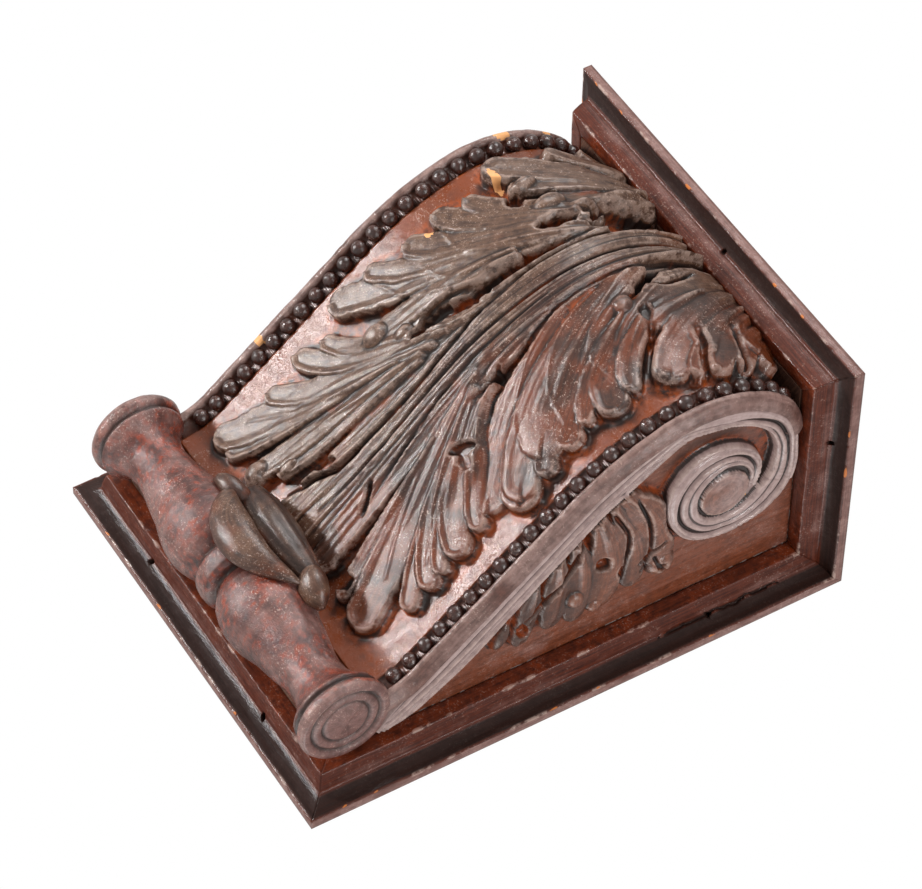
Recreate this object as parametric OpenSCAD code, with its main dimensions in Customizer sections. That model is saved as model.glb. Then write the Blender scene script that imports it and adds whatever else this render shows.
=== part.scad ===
// Carved corbel bracket: an S-scroll console with an acanthus drop, bead rows and a turned
// foot roll, framed by six mitred moulding strips.
// Frame: the wall face is the plane Y = 0 and the body comes out along -Y. The seat is the top
// face, up is +Z and the origin lies in the middle of the wall face. Millimetres.

/* [Overall] */
// Width across the moulding
corbel_w = 203; // [160:1:250]
// Height of the wall face
corbel_h = 252; // [205:1:310]
// Depth from the wall to the face of the top moulding
corbel_d = 127; // [104:1:156]

/* [Moulding] */
// Width of the moulding section, measured in from the outside edge
mould_in = 18.5; // [15:0.5:22]
// Thickness of the moulding section
mould_t = 16; // [13:0.5:19]
// Height of the square fillet at the outside edge
fillet_t = 4.4; // [3:0.2:6]
// How far in the cove ends
cove_in = 8.6; // [6:0.2:9.6]
// Height at which the cove ends and the ovolo starts
cove_t = 7; // [6.2:0.1:9]
// How far in the top arris of the ovolo lies
arris_in = 10.7; // [9.8:0.1:13]

/* [Scroll] */
// How far the side scrolls stand out from the block
scroll_relief = 6; // [4:0.5:8]
// Width of the scroll band on the side
band_w = 13.5; // [10:0.5:16]
// How far the arris of the band lies behind the bead line
band_set = 2.4; // [1.5:0.1:4]
// Radius of the hollow above the foot roll
toe_r = 28; // [18:1:36]
// Radius of the lower belly
belly_low_r = 120; // [90:1:140]
// Radius of the upper belly
belly_top_r = 56; // [46:1:62]
// Drop from the underside of the top moulding to the front of the belly
belly_drop = 50; // [42:1:58]

/* [Volute] */
// Distance of the eye behind the face of the top moulding
eye_back = 53.5; // [48:0.5:58]
// Drop from the underside of the top moulding to the eye
eye_drop = 37.5; // [34:0.5:44]
// Radius of the eye disc
eye_r = 11.5; // [8:0.5:12.5]
// Radius of the volute at the front, top, back, bottom, and the front and top a turn later
volute_front = 51.4; // [48:0.2:53]
volute_top = 35.4; // [33:0.2:36]
volute_back = 26.8; // [25:0.2:30]
volute_low = 27.6; // [25:0.2:30]
volute_front2 = 28.4; // [26:0.2:30]
volute_top2 = 18.6; // [16:0.2:20]

/* [Foot roll] */
// Distance of the roll's axis from the face of the mouldings on the wall
roll_off = 22.6; // [21:0.2:28]
// Height of the roll's axis
roll_up = 24; // [22:0.5:30]
// Radius of the end flanges
flange_r = 20; // [17:0.5:21]
// Radius at the neck inside each flange
neck_r = 11.5; // [9:0.5:14]
// Largest radius of each bulb
bulb_r = 19.2; // [16:0.2:20]
// Radius of the ring in the middle
ring_r = 17.6; // [15:0.2:19]

/* [Beads] */
// Diameter of a bead
bead_d = 7.2; // [5:0.2:8]
// Distance from bead to bead along the row
bead_pitch = 8.8; // [8.2:0.1:11]
// Distance of the row in from the side of the block
bead_in = 4.2; // [3.6:0.1:6]

/* [Acanthus] */
// Height of the leaf at its ribs
leaf_rise = 7.5; // [5:0.5:10]
// Width of a cell of the leaf's surface
leaf_cell = 5.4; // [5.2:0.1:7]

/* [Nail holes] */
// Diameter of a sunk nail hole
nail_d = 2.6; // [2:0.1:3.2]
// Depth of a sunk nail hole
nail_deep = 4; // [2:0.5:6]

/* [Hidden] */

STAIN = "#5a3228";
STRIP_STAIN = "#5e3229";

// --- block and places worked out from the driving sizes
half_w = corbel_w / 2;
block_half = half_w - mould_in;
block_top_d = corbel_d - mould_in;
scroll_half = block_half + scroll_relief;
bead_x = block_half - bead_in;
ground_set = 1;
under_z = corbel_h - mould_t;
roll_y = -(mould_t + roll_off);
roll_z = roll_up;
eye_y = -corbel_d + eye_back;
eye_z = under_z - eye_drop;
belly_y = -corbel_d;
belly_z = under_z - belly_drop;

// --- S curve, walked upwards from the toe. An angle is measured from -Y towards +Z.
toe_angle = 78;
toe_y = roll_y - 0.2;
toe_z = roll_z + flange_r + 1;
belly_break = 74;
crown_angle = 134;
crown_r = 33;
crown_end = 172;

// Move along an arc of radius r from angle a to angle b
function arc_move(r, a, b) =
    let (sg = sign(b - a)) [-sg * r * (sin(b) - sin(a)), -sg * r * (cos(b) - cos(a))];
// Points along an arc, without its first point
function arc_points(p, r, a, b, n) = [for (k = [1:n]) p + arc_move(r, a, a + (b - a) * k / n)];
// Length of flank that closes the height, at flank angle f
function flank_len(f) = (belly_z - toe_z - arc_move(toe_r, toe_angle, f)[1]
    - arc_move(belly_low_r, f, belly_break)[1] - arc_move(belly_top_r, belly_break, 90)[1]) / sin(f);
// How far in front of its place the belly lands at flank angle f
function flank_miss(f) = toe_y + arc_move(toe_r, toe_angle, f)[0] - flank_len(f) * cos(f)
    + arc_move(belly_low_r, f, belly_break)[0] + arc_move(belly_top_r, belly_break, 90)[0] - belly_y;
// Flank angle that brings the belly to its place, found by halving
function flank_angle(lo, hi, k = 24) = k == 0 ? (lo + hi) / 2
    : let (m = (lo + hi) / 2) flank_miss(m) < 0 ? flank_angle(m, hi, k - 1) : flank_angle(lo, m, k - 1);

fa = flank_angle(30, 72);
p_toe = [toe_y, toe_z];
p_flank = p_toe + arc_move(toe_r, toe_angle, fa);
p_low = p_flank + flank_len(fa) * [-cos(fa), sin(fa)];
p_break = p_low + arc_move(belly_low_r, fa, belly_break);
p_crown = p_break + arc_move(belly_top_r, belly_break, crown_angle);

// Stretches of the S curve: start point, radius (0 for straight), start and end angle, length
S_RUNS = [
    [p_toe, toe_r, toe_angle, fa, toe_r * abs(fa - toe_angle) * PI / 180],
    [p_flank, 0, fa, fa, flank_len(fa)],
    [p_low, belly_low_r, fa, belly_break, belly_low_r * (belly_break - fa) * PI / 180],
    [p_break, belly_top_r, belly_break, crown_angle, belly_top_r * (crown_angle - belly_break) * PI / 180],
    [p_crown, crown_r, crown_angle, crown_end, crown_r * (crown_end - crown_angle) * PI / 180]
];
// Point and angle on the S curve, a distance s from the toe
function s_at(s, i = 0) = let (r = S_RUNS[i])
    (s > r[4] && i < len(S_RUNS) - 1) ? s_at(s - r[4], i + 1)
    : s < 0 ? [r[0] + s * [-cos(r[2]), sin(r[2])], r[2]]
    : r[1] == 0 ? [r[0] + s * [-cos(r[2]), sin(r[2])], r[2]]
    : let (a = r[2] + (r[3] - r[2]) * s / r[4]) [r[0] + arc_move(r[1], r[2], a), a];
// The same, moved out by h along the outward normal
function s_out(s, h) = let (q = s_at(s)) q[0] - h * [sin(q[1]), cos(q[1])];
s_len = S_RUNS[0][4] + S_RUNS[1][4] + S_RUNS[2][4] + S_RUNS[3][4] + S_RUNS[4][4];
s_belly = s_len - S_RUNS[4][4] - belly_top_r * (crown_angle - 90) * PI / 180;
// Places of the profile's corners, closer together where it bends
S_STEPS = concat(
    [for (k = [0:4]) S_RUNS[0][4] * k / 4],
    [for (k = [0:16]) S_RUNS[0][4] + S_RUNS[1][4] + (s_len - S_RUNS[0][4] - S_RUNS[1][4]) * k / 16]);
// Front outline between the toe and the underside of the top moulding, moved out by h
function s_front(h) = [for (s = S_STEPS) let (p = s_out(s, h)) if (p[1] < under_z) p];

// --- volute radius by angle, from the front (0) over the top (90) and on
VOLUTE_R = [volute_front, volute_top, volute_back, volute_low, volute_front2, volute_top2, volute_top2 - 3];
function volute_r(a) = let (q = a / 90, k = max(0, min(5, floor(q))), f = q - k,
    p0 = VOLUTE_R[max(0, k - 1)], p1 = VOLUTE_R[k], p2 = VOLUTE_R[k + 1], p3 = VOLUTE_R[min(6, k + 2)])
    p1 + f * (p2 - p0) / 2 + f * f * (p0 - 2.5 * p1 + 2 * p2 - p3 / 2)
    + f * f * f * (-p0 / 2 + 1.5 * p1 - 1.5 * p2 + p3 / 2);
function volute_p(r, a) = [eye_y - r * cos(a), eye_z + r * sin(a)];
crescent_end = 104;
volute_end = crescent_end + 360;

// Brings the middle of the wall face to the origin
module placed() {
    translate([0, 0, -corbel_h / 2]) children();
}

// Cuts a profile drawn as [Y, Z] into a slab from x0 to x1
module slab(x0, x1) {
    translate([x0, 0, 0]) rotate([90, 0, 90]) linear_extrude(height = x1 - x0) children();
}

// Middle of the console: the S front, the flat wall face and the top behind the mouldings
module block() {
    slab(-block_half, block_half)
        polygon(concat(
            [[0, mould_in], [roll_y + flange_r * 0.6, mould_in], [roll_y + 2, roll_z]],
            s_front(-ground_set),
            [[s_out(s_len, -ground_set)[0] + 2, under_z], [-block_top_d, under_z],
             [-block_top_d, corbel_h], [0, corbel_h]]));
}

// Raised lip outside each bead row, on the front. It stops short of the top moulding.
module edge_lip() {
    lip_rise = 1.4;
    lip_w = 3.2;
    head_gap = 1;
    slab(block_half - 0.5, block_half + lip_w)
        polygon(concat([[roll_y, roll_z]], s_front(lip_rise),
            [[eye_y, under_z - head_gap], [eye_y, eye_z], [roll_y + 5, toe_z + 30]]));
}

// Outline of the scroll band, from the foot roll to the end of the crescent
BAND_A0 = -30;
// Distance along the S curve at which the volute takes over from the band's arris
join_back = 24;
s_join = s_belly - join_back;
function band_s(n, inset) = [for (k = [0:n]) s_out(s_join * k / n, -band_set - inset)];
// Outer arris on the volute: eases from the belly's curve into the volute's own spiral
function ridge_r(a) = a < 0 ? volute_front - a * 0.11 : volute_r(a);
// Inner edge of the band on the volute
function crescent_r(a) = let (f = (a - BAND_A0) / (crescent_end - BAND_A0))
    ridge_r(a) - band_w * (1 - 0.25 * f) + 0.7 * f * f - (a > 60 ? (a - 60) * 0.12 : 0);
// Radius of the arc that leads the back of the band round the foot roll, just inside its rim
rear_lap = 0.8;
rear_line = s_out(s_join * 0.45, -band_set - band_w);
rear_y = roll_y + flange_r - rear_lap;
rear_gap = rear_y - rear_line[0] - (rear_line[1] - roll_z) / tan(fa);
rear_r = rear_gap / ((1 - sin(fa)) - cos(fa) / tan(fa));
REAR_ARC = [for (k = [0:8]) let (a = 90 + (fa - 90) * k / 8)
    [rear_y - abs(rear_r) * (1 - sin(a)), roll_z + abs(rear_r) * cos(a)]];

// Outline of one side's scroll: up the band's arris, round the spiral, back along the inside of
// the crescent, down the back of the band and round the rim of the foot roll
module scroll_outline() {
    upper = [for (s = [S_RUNS[0][4] : 9 : s_join]) s_out(s, -band_set)];
    spiral = [for (a = [BAND_A0 + 9 : 9 : volute_end]) volute_p(ridge_r(a), a)];
    crescent = [for (a = [crescent_end : -9 : BAND_A0 + 9]) volute_p(crescent_r(a), a)];
    back = [for (s = [s_join : -9 : s_join * 0.5]) s_out(s, -band_set - band_w)];
    rear = [for (k = [8 : -1 : 0]) REAR_ARC[k]];
    rim = [for (a = [15 : 15 : 75]) [roll_y + (flange_r - 2) * cos(a), roll_z + (flange_r - 2) * sin(a)]];
    polygon(concat([p_toe], upper, spiral, crescent, back, rear, rim));
}

// One side's scroll: band and volute stand out from the block and carry running grooves
module side_scroll() {
    groove_deep = 1.6;
    groove_w = 1.4;
    // place of the groove behind the arris, on the band and a little nearer on the volute
    groove_in = 5.6;
    volute_in = groove_in * 0.93;
    // where it starts above the toe, and its first and last angle on the volute
    groove_s = 24;
    groove_a = [-20, 92];
    ring_gap = 5;
    difference() {
        slab(block_half - 1, scroll_half) scroll_outline();
        slab(scroll_half - groove_deep, scroll_half + 1)
            polygon(concat(
                [for (s = [groove_s : 9 : s_join]) s_out(s, -band_set - groove_in)],
                [for (a = [groove_a[0] : 9 : groove_a[1]]) volute_p(ridge_r(a) - volute_in, a)],
                [for (a = [groove_a[1] : -9 : groove_a[0]]) volute_p(ridge_r(a) - volute_in - groove_w, a)],
                [for (s = [s_join : -9 : groove_s]) s_out(s, -band_set - groove_in - groove_w)]));
        // rings round the eye
        for (r = [eye_r, eye_r + ring_gap]) {
            translate([scroll_half - groove_deep, eye_y, eye_z]) rotate([0, 90, 0])
                difference() {
                    cylinder(r = r + groove_w, h = groove_deep + 1, $fn = 22);
                    translate([0, 0, -1]) cylinder(r = r, h = groove_deep + 3, $fn = 22);
                }
        }
    }
}

// Blade of a leaf laid on the side: a bent outline that is wide near its tip
function bend(a, c, b, t) = (1 - t) * (1 - t) * a + 2 * t * (1 - t) * c + t * t * b;
function blade_w(w, t) = w * (0.5 + 0.5 * sin(t * 90));
// Laid as a row of hulls over discs that narrow upwards, so that the blade is crowned
module side_blade(a, c, b, w, rise) {
    n = 3;
    for (k = [0 : n - 1]) {
        hull() {
            for (t = [k / n, (k + 1) / n]) {
                p = bend(a, c, b, t * 0.9);
                r = blade_w(w, t * 0.9);
                translate([block_half - 0.5, p[0], p[1]]) rotate([0, 90, 0])
                    cylinder(r1 = r, r2 = r * 0.45, h = 0.5 + rise, $fn = 8);
            }
        }
    }
}

// Leaf spray in the angle between the volute and the band, given from the eye
module side_spray() {
    e = [eye_y, eye_z];
    side_blade(e + [-24, -36], e + [-8, -34], e + [22, -26], 5, 4.6);
    side_blade(e + [-20, -44], e + [2, -46], e + [24, -38], 4.2, 3.8);
    side_blade(e + [-14, -50], e + [6, -54], e + [30, -63], 6.5, 4.4);
    side_blade(e + [-8, -62], e + [10, -68], e + [34, -76], 5.5, 3.4);
    side_blade(e + [0, -72], e + [14, -84], e + [36, -96], 4.5, 2.8);
}

// Foot roll: two bulbs with end flanges and a ring between them, turned about X
module foot_roll() {
    // the flange starts a hair inside the block's side and ends past the scroll's face
    flange_x = block_half - 0.1;
    neck_x = scroll_half - 26;
    face_x = scroll_half + 0.6;
    bulb_x = 25;
    function swell(a, b, f) = a + (b - a) * (1 - cos(180 * f)) / 2;
    profile = concat(
        [[0, 0], [ring_r, 0], [ring_r - 0.8, 4], [ring_r - 4, 6.5], [bulb_r - 6, 8]],
        [for (k = [0:2]) [bulb_r - 4 + 4 * sin(90 * k / 2), 10 + (bulb_x - 10) * k / 2]],
        [for (k = [1:4]) [swell(bulb_r, neck_r, k / 4), bulb_x + (neck_x - bulb_x) * k / 4]],
        [for (k = [1:3]) [swell(neck_r, flange_r - 0.8, k / 3), neck_x + (flange_x - 3 - neck_x) * k / 3]],
        [[flange_r - 1.6, flange_x - 1.6], [flange_r, flange_x],
         [flange_r, scroll_half - 2], [flange_r - 2.5, face_x], [flange_r - 4.6, face_x],
         [flange_r - 5.6, face_x - 1.8], [flange_r - 6.6, face_x - 0.6], [0, face_x - 0.6]]);
    for (side = [0, 1]) {
        translate([0, roll_y, roll_z]) mirror([side, 0, 0]) rotate([0, 90, 0])
            rotate_extrude($fn = 24) polygon(profile);
    }
}

// Curled tip of the leaf, lying over the roll like a crescent, and a leaf curl at each end
module tie() {
    tip_y = roll_y - 20;
    tip_z = roll_z + 14;
    // [place across, out, up, radius] along the crescent, from its left horn to its right one
    crescent = [[-24, 3, 7, 3], [-14, -1, 1, 6.5], [-2, -2, -3, 8], [11, -1, -2, 7], [24, 3, 5, 3.5]];
    for (k = [0 : len(crescent) - 2]) {
        hull() {
            for (c = [crescent[k], crescent[k + 1]])
                translate([c[0], tip_y + c[1], tip_z + c[2]]) sphere(r = c[3], $fn = 9);
        }
    }
    translate([-28, tip_y + 6, tip_z + 10]) sphere(r = 4.5, $fn = 9);
    translate([30, tip_y + 5, tip_z + 7]) sphere(r = 7, $fn = 9);
}

// A bead every pitch along both rows
module beads() {
    for (side = [-1, 1], s = [bead_pitch / 2 : bead_pitch : s_len]) {
        q = s_at(s);
        if (q[0][1] < under_z - bead_d * 0.6)
            translate([side * bead_x, q[0][0], q[0][1]]) rotate([180 - q[1], 0, 0]) sphere(d = bead_d, $fn = 6);
    }
}

// --- acanthus. A lobe's fingers run from root to tip, each as [root, bend, tip, half width, share
// of the rise]. Places are [along the S, across], drawn on a front 215 long and 79.2 to the beads.
DRAWN_LEN = 215;
DRAWN_HALF = 79.2;
FINGERS = [
    // left lobe by the foot
    [[100, -12], [50, -38], [9, -62], 6, 0.7], [[100, -11], [50, -33], [9, -49], 5.5, 0.7],
    [[100, -10], [50, -26], [12, -35], 6, 0.7], [[95, -10], [55, -18], [24, -25], 4.5, 0.6],
    [[100, -14], [58, -36], [39, -57], 5, 0.65], [[100, -16], [70, -35], [58, -59], 5.5, 0.7],
    [[98, -18], [80, -33], [71, -52], 4.5, 0.65],
    // left lobe at mid height
    [[180, -10], [125, -38], [84, -62], 7, 0.85], [[150, -14], [112, -34], [87, -39], 5.5, 0.85],
    [[150, -13], [120, -28], [96, -28], 4.5, 0.8], [[165, -14], [125, -42], [103, -59], 5, 0.8],
    [[170, -15], [135, -42], [120, -56], 6, 0.8], [[175, -17], [150, -42], [138, -57], 6, 0.8],
    [[178, -20], [158, -40], [150, -57], 7, 0.75],
    // left lobe at the top
    [[222, -40], [190, -55], [166, -61], 6, 1], [[215, -36], [190, -46], [169, -50], 5, 1],
    [[215, -33], [190, -36], [172, -36], 6, 1], [[225, -55], [205, -62], [191, -60], 8, 0.9],
    // middle lobe and its ribs
    [[220, -6], [100, -4], [12, -14], 7, 0.7], [[220, 0], [100, 0], [9, 0], 6, 0.7],
    [[220, 6], [100, 4], [15, 11], 6, 0.7], [[225, -12], [150, -12], [95, -13], 6, 1],
    [[225, 12], [150, 9], [80, 13], 7, 1], [[225, 18], [180, 16], [140, 18], 7, 0.95],
    // right lobe by the foot
    [[105, 8], [55, 18], [15, 25], 6, 0.7], [[110, 10], [55, 24], [13, 37], 5, 0.7],
    [[115, 11], [55, 30], [13, 51], 8.5, 0.75], [[100, 16], [50, 45], [28, 61], 4, 0.65],
    [[105, 17], [62, 38], [43, 60], 6, 0.7], [[105, 20], [75, 38], [61, 59], 6.5, 0.7],
    [[98, 22], [80, 42], [71, 58], 4.5, 0.65],
    // right lobe at mid height
    [[180, 13], [120, 28], [93, 61], 9, 0.9], [[160, 14], [115, 24], [90, 45], 7, 0.9],
    [[160, 18], [122, 45], [107, 63], 5.5, 0.85], [[165, 20], [130, 42], [120, 61], 6, 0.85],
    [[170, 27], [152, 45], [142, 61], 7, 0.85], [[165, 32], [157, 45], [151, 57], 4.5, 0.8],
    // right lobe at the top
    [[215, 30], [185, 42], [168, 63], 7, 1], [[218, 38], [195, 50], [187, 65], 7, 1],
    [[222, 50], [212, 60], [205, 66], 7, 0.95], [[208, 25], [190, 32], [176, 40], 7, 0.95],
    [[172, 30], [170, 30], [168, 30], 4.5, 1.3]
];
leaf_top_s = max([for (s = [0 : 2 : s_len]) if (s_out(s, leaf_rise + 2)[1] < under_z - 1) s]);
leaf_foot_s = 3;
fit_s = leaf_top_s / DRAWN_LEN;
fit_x = bead_x / DRAWN_HALF;
// Each finger as a row of round pats that overlap: [place, radius, height]
PATS = [for (f = FINGERS, k = [0:9]) let (t = k / 9, p = bend(f[0], f[1], f[2], t),
    w = f[3] * (t < 0.6 ? 0.55 + 0.45 * t / 0.6 : 1 - 0.12 * (t - 0.6)))
    [[p[0] * fit_s, p[1] * fit_x], w * fit_x, leaf_rise * f[4] * (0.85 + 0.15 * t)]];
leaf_half = bead_x - bead_d / 2 - 2;
leaf_bed = -0.2;
function leaf_near(s) = [for (p = PATS) if (abs(p[0][0] - s) < p[1]) p];
function leaf_h(near, s, x) = max(concat([leaf_bed],
    [for (p = near) let (u = norm([s, x] - p[0]) / p[1]) if (u < 1)
        leaf_bed + (p[2] - leaf_bed) * sqrt(1 - u * u * u * u)]));
cells_s = ceil((leaf_top_s - leaf_foot_s) / leaf_cell);
cells_x = ceil(2 * leaf_half / leaf_cell);

module acanthus() {
    deep = -6;
    rows = [for (i = [0:cells_s]) let (s = leaf_foot_s + (leaf_top_s - leaf_foot_s) * i / cells_s, near = leaf_near(s))
        [for (j = [0:cells_x]) let (x = -leaf_half + 2 * leaf_half * j / cells_x,
            p = s_out(s, leaf_h(near, s, x))) [x, p[0], p[1]]]];
    beds = [for (i = [0:cells_s]) let (p = s_out(leaf_foot_s + (leaf_top_s - leaf_foot_s) * i / cells_s, deep))
        each [[-leaf_half, p[0], p[1]], [leaf_half, p[0], p[1]]]];
    n = cells_x + 1;
    base = (cells_s + 1) * n;
    pts = concat([for (r = rows) each r], beds);
    top = [for (i = [0 : cells_s - 1], j = [0 : cells_x - 1])
        each [[i * n + j, (i + 1) * n + j, (i + 1) * n + j + 1], [i * n + j, (i + 1) * n + j + 1, i * n + j + 1]]];
    under = [for (i = [0 : cells_s - 1]) let (b = base + 2 * i)
        each [[b, b + 1, b + 3], [b, b + 3, b + 2]]];
    left = [for (i = [0 : cells_s - 1]) let (b = base + 2 * i)
        each [[i * n, b, b + 2], [i * n, b + 2, (i + 1) * n]]];
    right = [for (i = [0 : cells_s - 1]) let (b = base + 2 * i + 1)
        each [[i * n + cells_x, (i + 1) * n + cells_x, b + 2], [i * n + cells_x, b + 2, b]]];
    foot = concat([for (j = [0 : cells_x - 1]) [j, j + 1, base]], [[cells_x, base + 1, base]]);
    e0 = cells_s * n;
    eb = base + 2 * cells_s;
    head = concat([for (j = [0 : cells_x - 1]) [e0 + j, eb, e0 + j + 1]], [[e0 + cells_x, eb, eb + 1]]);
    polyhedron(points = pts, faces = concat(top, under, left, right, foot, head));
}

module console() {
    color(STAIN) placed() {
        block();
        foot_roll();
        tie();
        beads();
        for (side = [0, 1]) {
            mirror([side, 0, 0]) {
                edge_lip();
                side_scroll();
                side_spray();
            }
        }
        acanthus();
    }
}

// --- mouldings. The section is drawn as [in from the edge, out from the back].
module section() {
    bite = 0.9;
    cove = [for (k = [0:6]) let (a = 90 * k / 6)
        [cove_in * (1 - cos(a)), fillet_t + (cove_t - fillet_t) * sin(a) - bite * sin(2 * a)]];
    swell = 0.7;
    ovolo = [for (k = [1:5]) let (f = k / 5)
        [cove_in + (arris_in - cove_in) * f - swell * sin(180 * f), cove_t + (mould_t - cove_t) * f]];
    polygon(concat([[0, 0]], cove, ovolo, [[mould_in, mould_t], [mould_in, 0]]));
}

module nail_hole(at, way) {
    translate(at) rotate(way) translate([0, 0, -nail_deep]) cylinder(d = nail_d, h = nail_deep * 3, $fn = 24);
}

nail_in = cove_in + 0.4;
nail_tilt = 45;
back_nail_x = 51;
side_nail_z = corbel_h * 0.77;
top_nail_x = 11.7;
top_nail_y = -corbel_d * 0.66;

module bottom_moulding() {
    color(STRIP_STAIN) placed() difference() {
        intersection() {
            translate([-half_w, 0, 0]) rotate([90, 0, 90]) mirror([1, 0, 0]) linear_extrude(height = corbel_w)
                rotate(90) mirror([0, 1, 0]) section();
            rotate([90, 0, 0]) linear_extrude(height = mould_t)
                polygon([[-half_w, 0], [half_w, 0], [half_w - mould_in, mould_in], [mould_in - half_w, mould_in]]);
        }
        for (x = [-back_nail_x, back_nail_x])
            nail_hole([x, -cove_t - 0.6, nail_in], [90 + nail_tilt, 0, 0]);
    }
}

// Upright strip on the +X side: mitred outwards at the foot and inwards at the head
module back_moulding() {
    difference() {
        intersection() {
            translate([half_w, 0, 0]) mirror([1, 0, 0]) mirror([0, 1, 0]) linear_extrude(height = corbel_h) section();
            rotate([90, 0, 0]) linear_extrude(height = mould_t)
                polygon([[half_w, 0], [half_w, corbel_h], [half_w - mould_in, corbel_h], [half_w - mould_in, mould_in]]);
            translate([half_w - mould_in, 0, 0]) rotate([90, 0, 90]) linear_extrude(height = mould_in)
                polygon([[0, 0], [-mould_t, 0], [-mould_t, corbel_h - mould_t], [0, corbel_h]]);
        }
        nail_hole([half_w - nail_in, -cove_t - 0.6, side_nail_z], [90, 0, nail_tilt]);
    }
}
module right_back_moulding() { color(STRIP_STAIN) placed() back_moulding(); }
module left_back_moulding() { color(STRIP_STAIN) placed() mirror([1, 0, 0]) back_moulding(); }

module top_front_moulding() {
    color(STRIP_STAIN) placed() difference() {
        intersection() {
            translate([-half_w, -corbel_d, corbel_h]) rotate([90, 0, 90]) linear_extrude(height = corbel_w)
                mirror([0, 1, 0]) section();
            translate([0, 0, corbel_h - mould_t]) linear_extrude(height = mould_t)
                polygon([[-half_w, -corbel_d], [half_w, -corbel_d],
                         [half_w - mould_in, mould_in - corbel_d], [mould_in - half_w, mould_in - corbel_d]]);
        }
        nail_hole([top_nail_x, nail_in - corbel_d, corbel_h - cove_t - 0.6], [180 - nail_tilt, 0, 0]);
    }
}

// Strip along the +X edge of the seat: mitred outwards in front and inwards at the wall
module top_side_moulding() {
    difference() {
        intersection() {
            translate([half_w, 0, corbel_h]) rotate([90, 0, 0]) mirror([1, 0, 0]) mirror([0, 1, 0])
                linear_extrude(height = corbel_d) section();
            translate([0, 0, corbel_h - mould_t]) linear_extrude(height = mould_t)
                polygon([[half_w, 0], [half_w, -corbel_d], [half_w - mould_in, mould_in - corbel_d], [half_w - mould_in, 0]]);
            translate([half_w - mould_in, 0, 0]) rotate([90, 0, 90]) linear_extrude(height = mould_in)
                polygon([[0, corbel_h], [-mould_t, corbel_h - mould_t], [-corbel_d, corbel_h - mould_t], [-corbel_d, corbel_h]]);
        }
        nail_hole([half_w - nail_in, top_nail_y, corbel_h - cove_t - 0.6], [0, 90 + nail_tilt, 0]);
    }
}
module top_right_moulding() { color(STRIP_STAIN) placed() top_side_moulding(); }
module top_left_moulding() { color(STRIP_STAIN) placed() mirror([1, 0, 0]) top_side_moulding(); }

console();
bottom_moulding();
left_back_moulding();
right_back_moulding();
top_front_moulding();
top_left_moulding();
top_right_moulding();
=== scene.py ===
"""A carved corbel bracket: acanthus S-scroll console, bead rows, side volutes, foot roll and mitred strips.

Everything is in metres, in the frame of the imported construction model: the wall face is the plane
Y = 0, the body comes out along -Y, up is +Z and the origin is the middle of the wall face. Lengths
inside the classes are in millimetres, as a carver would give them, and are turned to metres when a
mesh is made.
"""

import logging
import math
from dataclasses import dataclass
from enum import Enum

import bmesh
import bpy
import numpy as np
from mathutils import Matrix, Vector

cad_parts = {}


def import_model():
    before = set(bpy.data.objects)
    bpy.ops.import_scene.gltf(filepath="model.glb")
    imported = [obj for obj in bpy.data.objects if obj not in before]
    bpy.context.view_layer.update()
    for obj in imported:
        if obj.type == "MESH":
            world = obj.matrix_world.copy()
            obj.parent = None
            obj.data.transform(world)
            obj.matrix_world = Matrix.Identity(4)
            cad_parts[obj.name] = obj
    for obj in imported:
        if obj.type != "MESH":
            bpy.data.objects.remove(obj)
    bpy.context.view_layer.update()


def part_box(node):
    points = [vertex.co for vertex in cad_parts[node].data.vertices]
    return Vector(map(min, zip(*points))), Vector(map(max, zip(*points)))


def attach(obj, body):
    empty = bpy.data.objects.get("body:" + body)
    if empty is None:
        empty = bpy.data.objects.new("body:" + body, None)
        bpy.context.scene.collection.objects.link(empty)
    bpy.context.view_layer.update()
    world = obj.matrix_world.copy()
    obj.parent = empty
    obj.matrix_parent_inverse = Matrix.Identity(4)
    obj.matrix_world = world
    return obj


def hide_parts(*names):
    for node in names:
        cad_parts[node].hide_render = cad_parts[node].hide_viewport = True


LOG = logging.getLogger("corbel")
MM = 0.001
BODY = "root"
CONSOLE = "console"
SEED = 583
ROLL_CENTRE = (-38.6, -102.1)
"""Y and Z of the foot roll's axis, in millimetres."""
FINISH_VALUES = ("hollow", "arris", "across", "along", "warm", "grey", "amber", "chip")
"""What the varnish reads at each point: see OldVarnish."""


class Slot(Enum):
    """The record's material slots."""

    CARVED = "carved_wood"
    MOULDING = "moulding_wood"


class Side(Enum):
    """Which side of the corbel a piece is on, as the sign of its X."""

    LEFT = -1.0
    RIGHT = 1.0


# ---------------------------------------------------------------- small helpers


def smooth(edge0: float, edge1: float, value: np.ndarray) -> np.ndarray:
    """Smooth step from 0 at edge0 to 1 at edge1.

    Args:
        edge0: Value at which the step starts.
        edge1: Value at which the step is complete.
        value: Values to map.

    Returns:
        An array between 0 and 1.
    """
    t = np.clip((value - edge0) / (edge1 - edge0), 0.0, 1.0)
    return t * t * (3.0 - 2.0 * t)


def bump(value: np.ndarray, centre: float, width: float) -> np.ndarray:
    """A bell of height 1 around centre, with the given half width."""
    return np.exp(-(((value - centre) / width) ** 2))


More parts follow.
